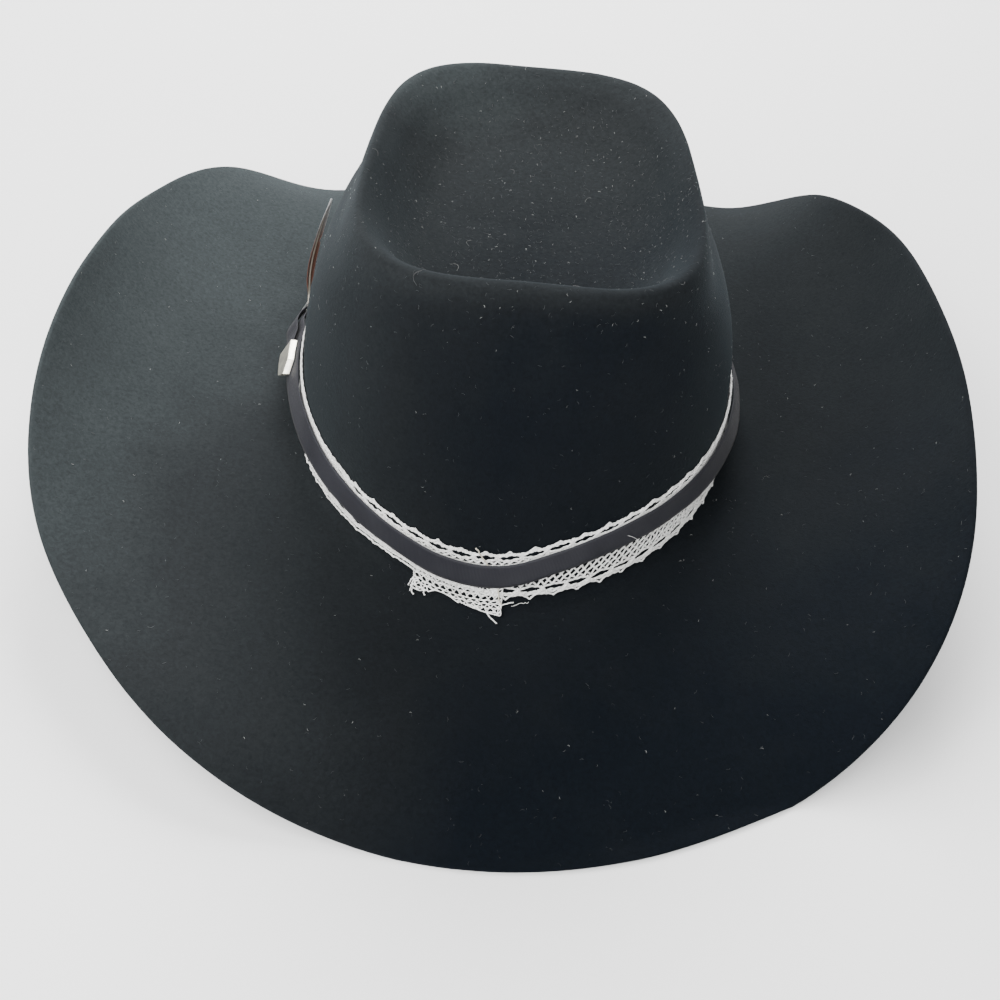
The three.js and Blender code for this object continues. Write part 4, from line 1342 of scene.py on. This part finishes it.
def makeFeather():
    form = featherForm
    rng = np.random.default_rng(form["seed"])
    points, faces, along, edge = [], [], [], []

    def addTube(rings, alongs, edges):
        first = sum(len(p) for p in points)
        sides = len(rings[0])
        points.append(np.concatenate(rings))
        faces.extend([[first + k for k in face] for face in tubeFaces(len(rings), sides)])
        along.extend(np.repeat(alongs, sides))
        edge.extend(np.repeat(edges, sides))

    shares = np.linspace(0, 1, 60)
    centre, across, up = featherFrame(shares)
    thick = quillWall / 2 * (1 - 0.86 * shares)
    wide = np.interp(shares, (0, 0.06, 0.3, 1), (0.45, 1, 0.6, 0.07)) * quillWidth / 2
    turns = np.linspace(0, 2 * math.pi, 8, endpoint=False)
    flat, tall = np.cos(turns), np.sin(turns)
    rings = [
        centre[k] + np.outer(flat * wide[k], across[k]) + np.outer(tall * thick[k], up[k])
        for k in range(len(shares))
    ]
    addTube(rings, shares * 0.3, 0 * shares)
    for way, column in ((-1, "left"), (1, "right")):
        for k in range(form["barbs"]):
            root = 0.3 + 0.695 * (k + rng.uniform(-0.3, 0.3)) / form["barbs"]
            t = np.linspace(0, 1, form["barbSteps"])
            tip = np.clip(root + form["sweep"] * 0.62, 0, 1)
            reach = np.interp(tip, featherShape["along"], featherShape[column]) * form["width"]
            reach = max(0.35, reach * rng.uniform(0.94, 1.03))
            place = np.clip(root + form["sweep"] * t**1.25 * 0.62, 0, 1)
            base, side, lift = featherFrame(place)
            curl = 0.35 * np.sin(t * 3.1) - 0.9 * t**2 + rng.uniform(-0.06, 0.06)
            line = base + side * (way * reach * t)[:, None] + lift * (curl * 0.5)[:, None]
            wide = form["barbWidth"] / 2 * (1 - 0.55 * t**2)
            run = unit(np.gradient(line, axis=0))
            broad = unit(np.cross(lift, run))
            rings = []
            for j in range(len(t)):
                a, b = broad[j] * wide[j], lift[j] * form["barbWall"] / 2
                rings.append(np.array([line[j] - a, line[j] - b, line[j] + a, line[j] + b]))
            addTube(rings, place, t)
    made = meshObject("hatFeather", np.concatenate(points), faces, makeFeatherMaterial())
    setValues(made, "along", along)
    setValues(made, "edge", edge)
    closeMesh(made, 1e-8)
    return finishPiece(made, "feather", "feather")


makeFeather()

# The plain stage: a pale floor, a pale surrounding light, soft lamps and the camera
stageForm = {
    "floorSize": 8.0,
    "floorColor": (0.9, 0.9, 0.9),
    "worldColor": (1.0, 1.0, 1.0),
    "worldStrength": 0.45,
    "lens": 55.37,
    "distance": 0.596,
    "elevation": 43.9,
    "azimuth": -0.9,
    "roll": 5.7,
    "target": (0.0015, -0.0492, 0.0194),
}
lampForms = {
    "backLamp": {"place": (0.0, 1.0, 0.9), "size": 0.8, "power": 38.5, "color": (1.0, 1.0, 1.0)},
    "leftLamp": {"place": (-0.8, 0.1, 1.1), "size": 0.8, "power": 13.0, "color": (1.0, 1.0, 1.0)},
    "frontLamp": {"place": (0.0, -1.0, 1.0), "size": 0.8, "power": 18.0, "color": (1.0, 1.0, 1.0)},
    "cornerLamp": {"place": (-0.7, -0.7, 0.8), "size": 0.8, "power": 14.7, "color": (1.0, 1.0, 1.0)},
}


def makeStage():
    size = stageForm["floorSize"] / 2
    mesh = bpy.data.meshes.new("paleFloor")
    corners = [(-size, -size, 0), (size, -size, 0), (size, size, 0), (-size, size, 0)]
    mesh.from_pydata(corners, [], [(0, 1, 2, 3)])
    floor = bpy.data.objects.new("paleFloor", mesh)
    bpy.context.scene.collection.objects.link(floor)
    material, _, shader = newTree("paleFloor")
    shader.inputs["Base Color"].default_value = (*stageForm["floorColor"], 1)
    shader.inputs["Roughness"].default_value = 0.9
    shader.inputs["Specular IOR Level"].default_value = 0.0
    mesh.materials.append(material)
    world = bpy.data.worlds.new("paleWorld")
    world.use_nodes = True
    background = world.node_tree.nodes["Background"]
    background.inputs["Color"].default_value = (*stageForm["worldColor"], 1)
    background.inputs["Strength"].default_value = stageForm["worldStrength"]
    bpy.context.scene.world = world


def makeLamp(name, form):
    data = bpy.data.lights.new(name, "AREA")
    data.shape, data.size, data.energy, data.color = "DISK", form["size"], form["power"], form["color"]
    lamp = bpy.data.objects.new(name, data)
    lamp.location = form["place"]
    aim = Vector((0, 0, 0.06)) - lamp.location
    lamp.rotation_euler = aim.to_track_quat("-Z", "Y").to_euler()
    bpy.context.scene.collection.objects.link(lamp)


def makeCamera():
    elevation, azimuth, roll = (math.radians(stageForm[k]) for k in ("elevation", "azimuth", "roll"))
    level = math.cos(elevation)
    back = Vector((math.sin(azimuth) * level, -math.cos(azimuth) * level, math.sin(elevation)))
    right = (-back).cross(Vector((0, 0, 1))).normalized()
    up = right.cross(-back)
    turnedRight = right * math.cos(roll) + up * math.sin(roll)
    turnedUp = up * math.cos(roll) - right * math.sin(roll)
    data = bpy.data.cameras.new("photoCamera")
    data.lens, data.sensor_width, data.clip_start = stageForm["lens"], 36.0, 0.01
    camera = bpy.data.objects.new("photoCamera", data)
    turn = Matrix((turnedRight, turnedUp, back)).transposed().to_4x4()
    place = Vector(stageForm["target"]) + back * stageForm["distance"]
    camera.matrix_world = Matrix.Translation(place) @ turn
    bpy.context.scene.collection.objects.link(camera)
    bpy.context.scene.camera = camera


makeStage()
for lampName, lampForm in lampForms.items():
    makeLamp(lampName, lampForm)
makeCamera()
print("stage, lamps and camera ready")
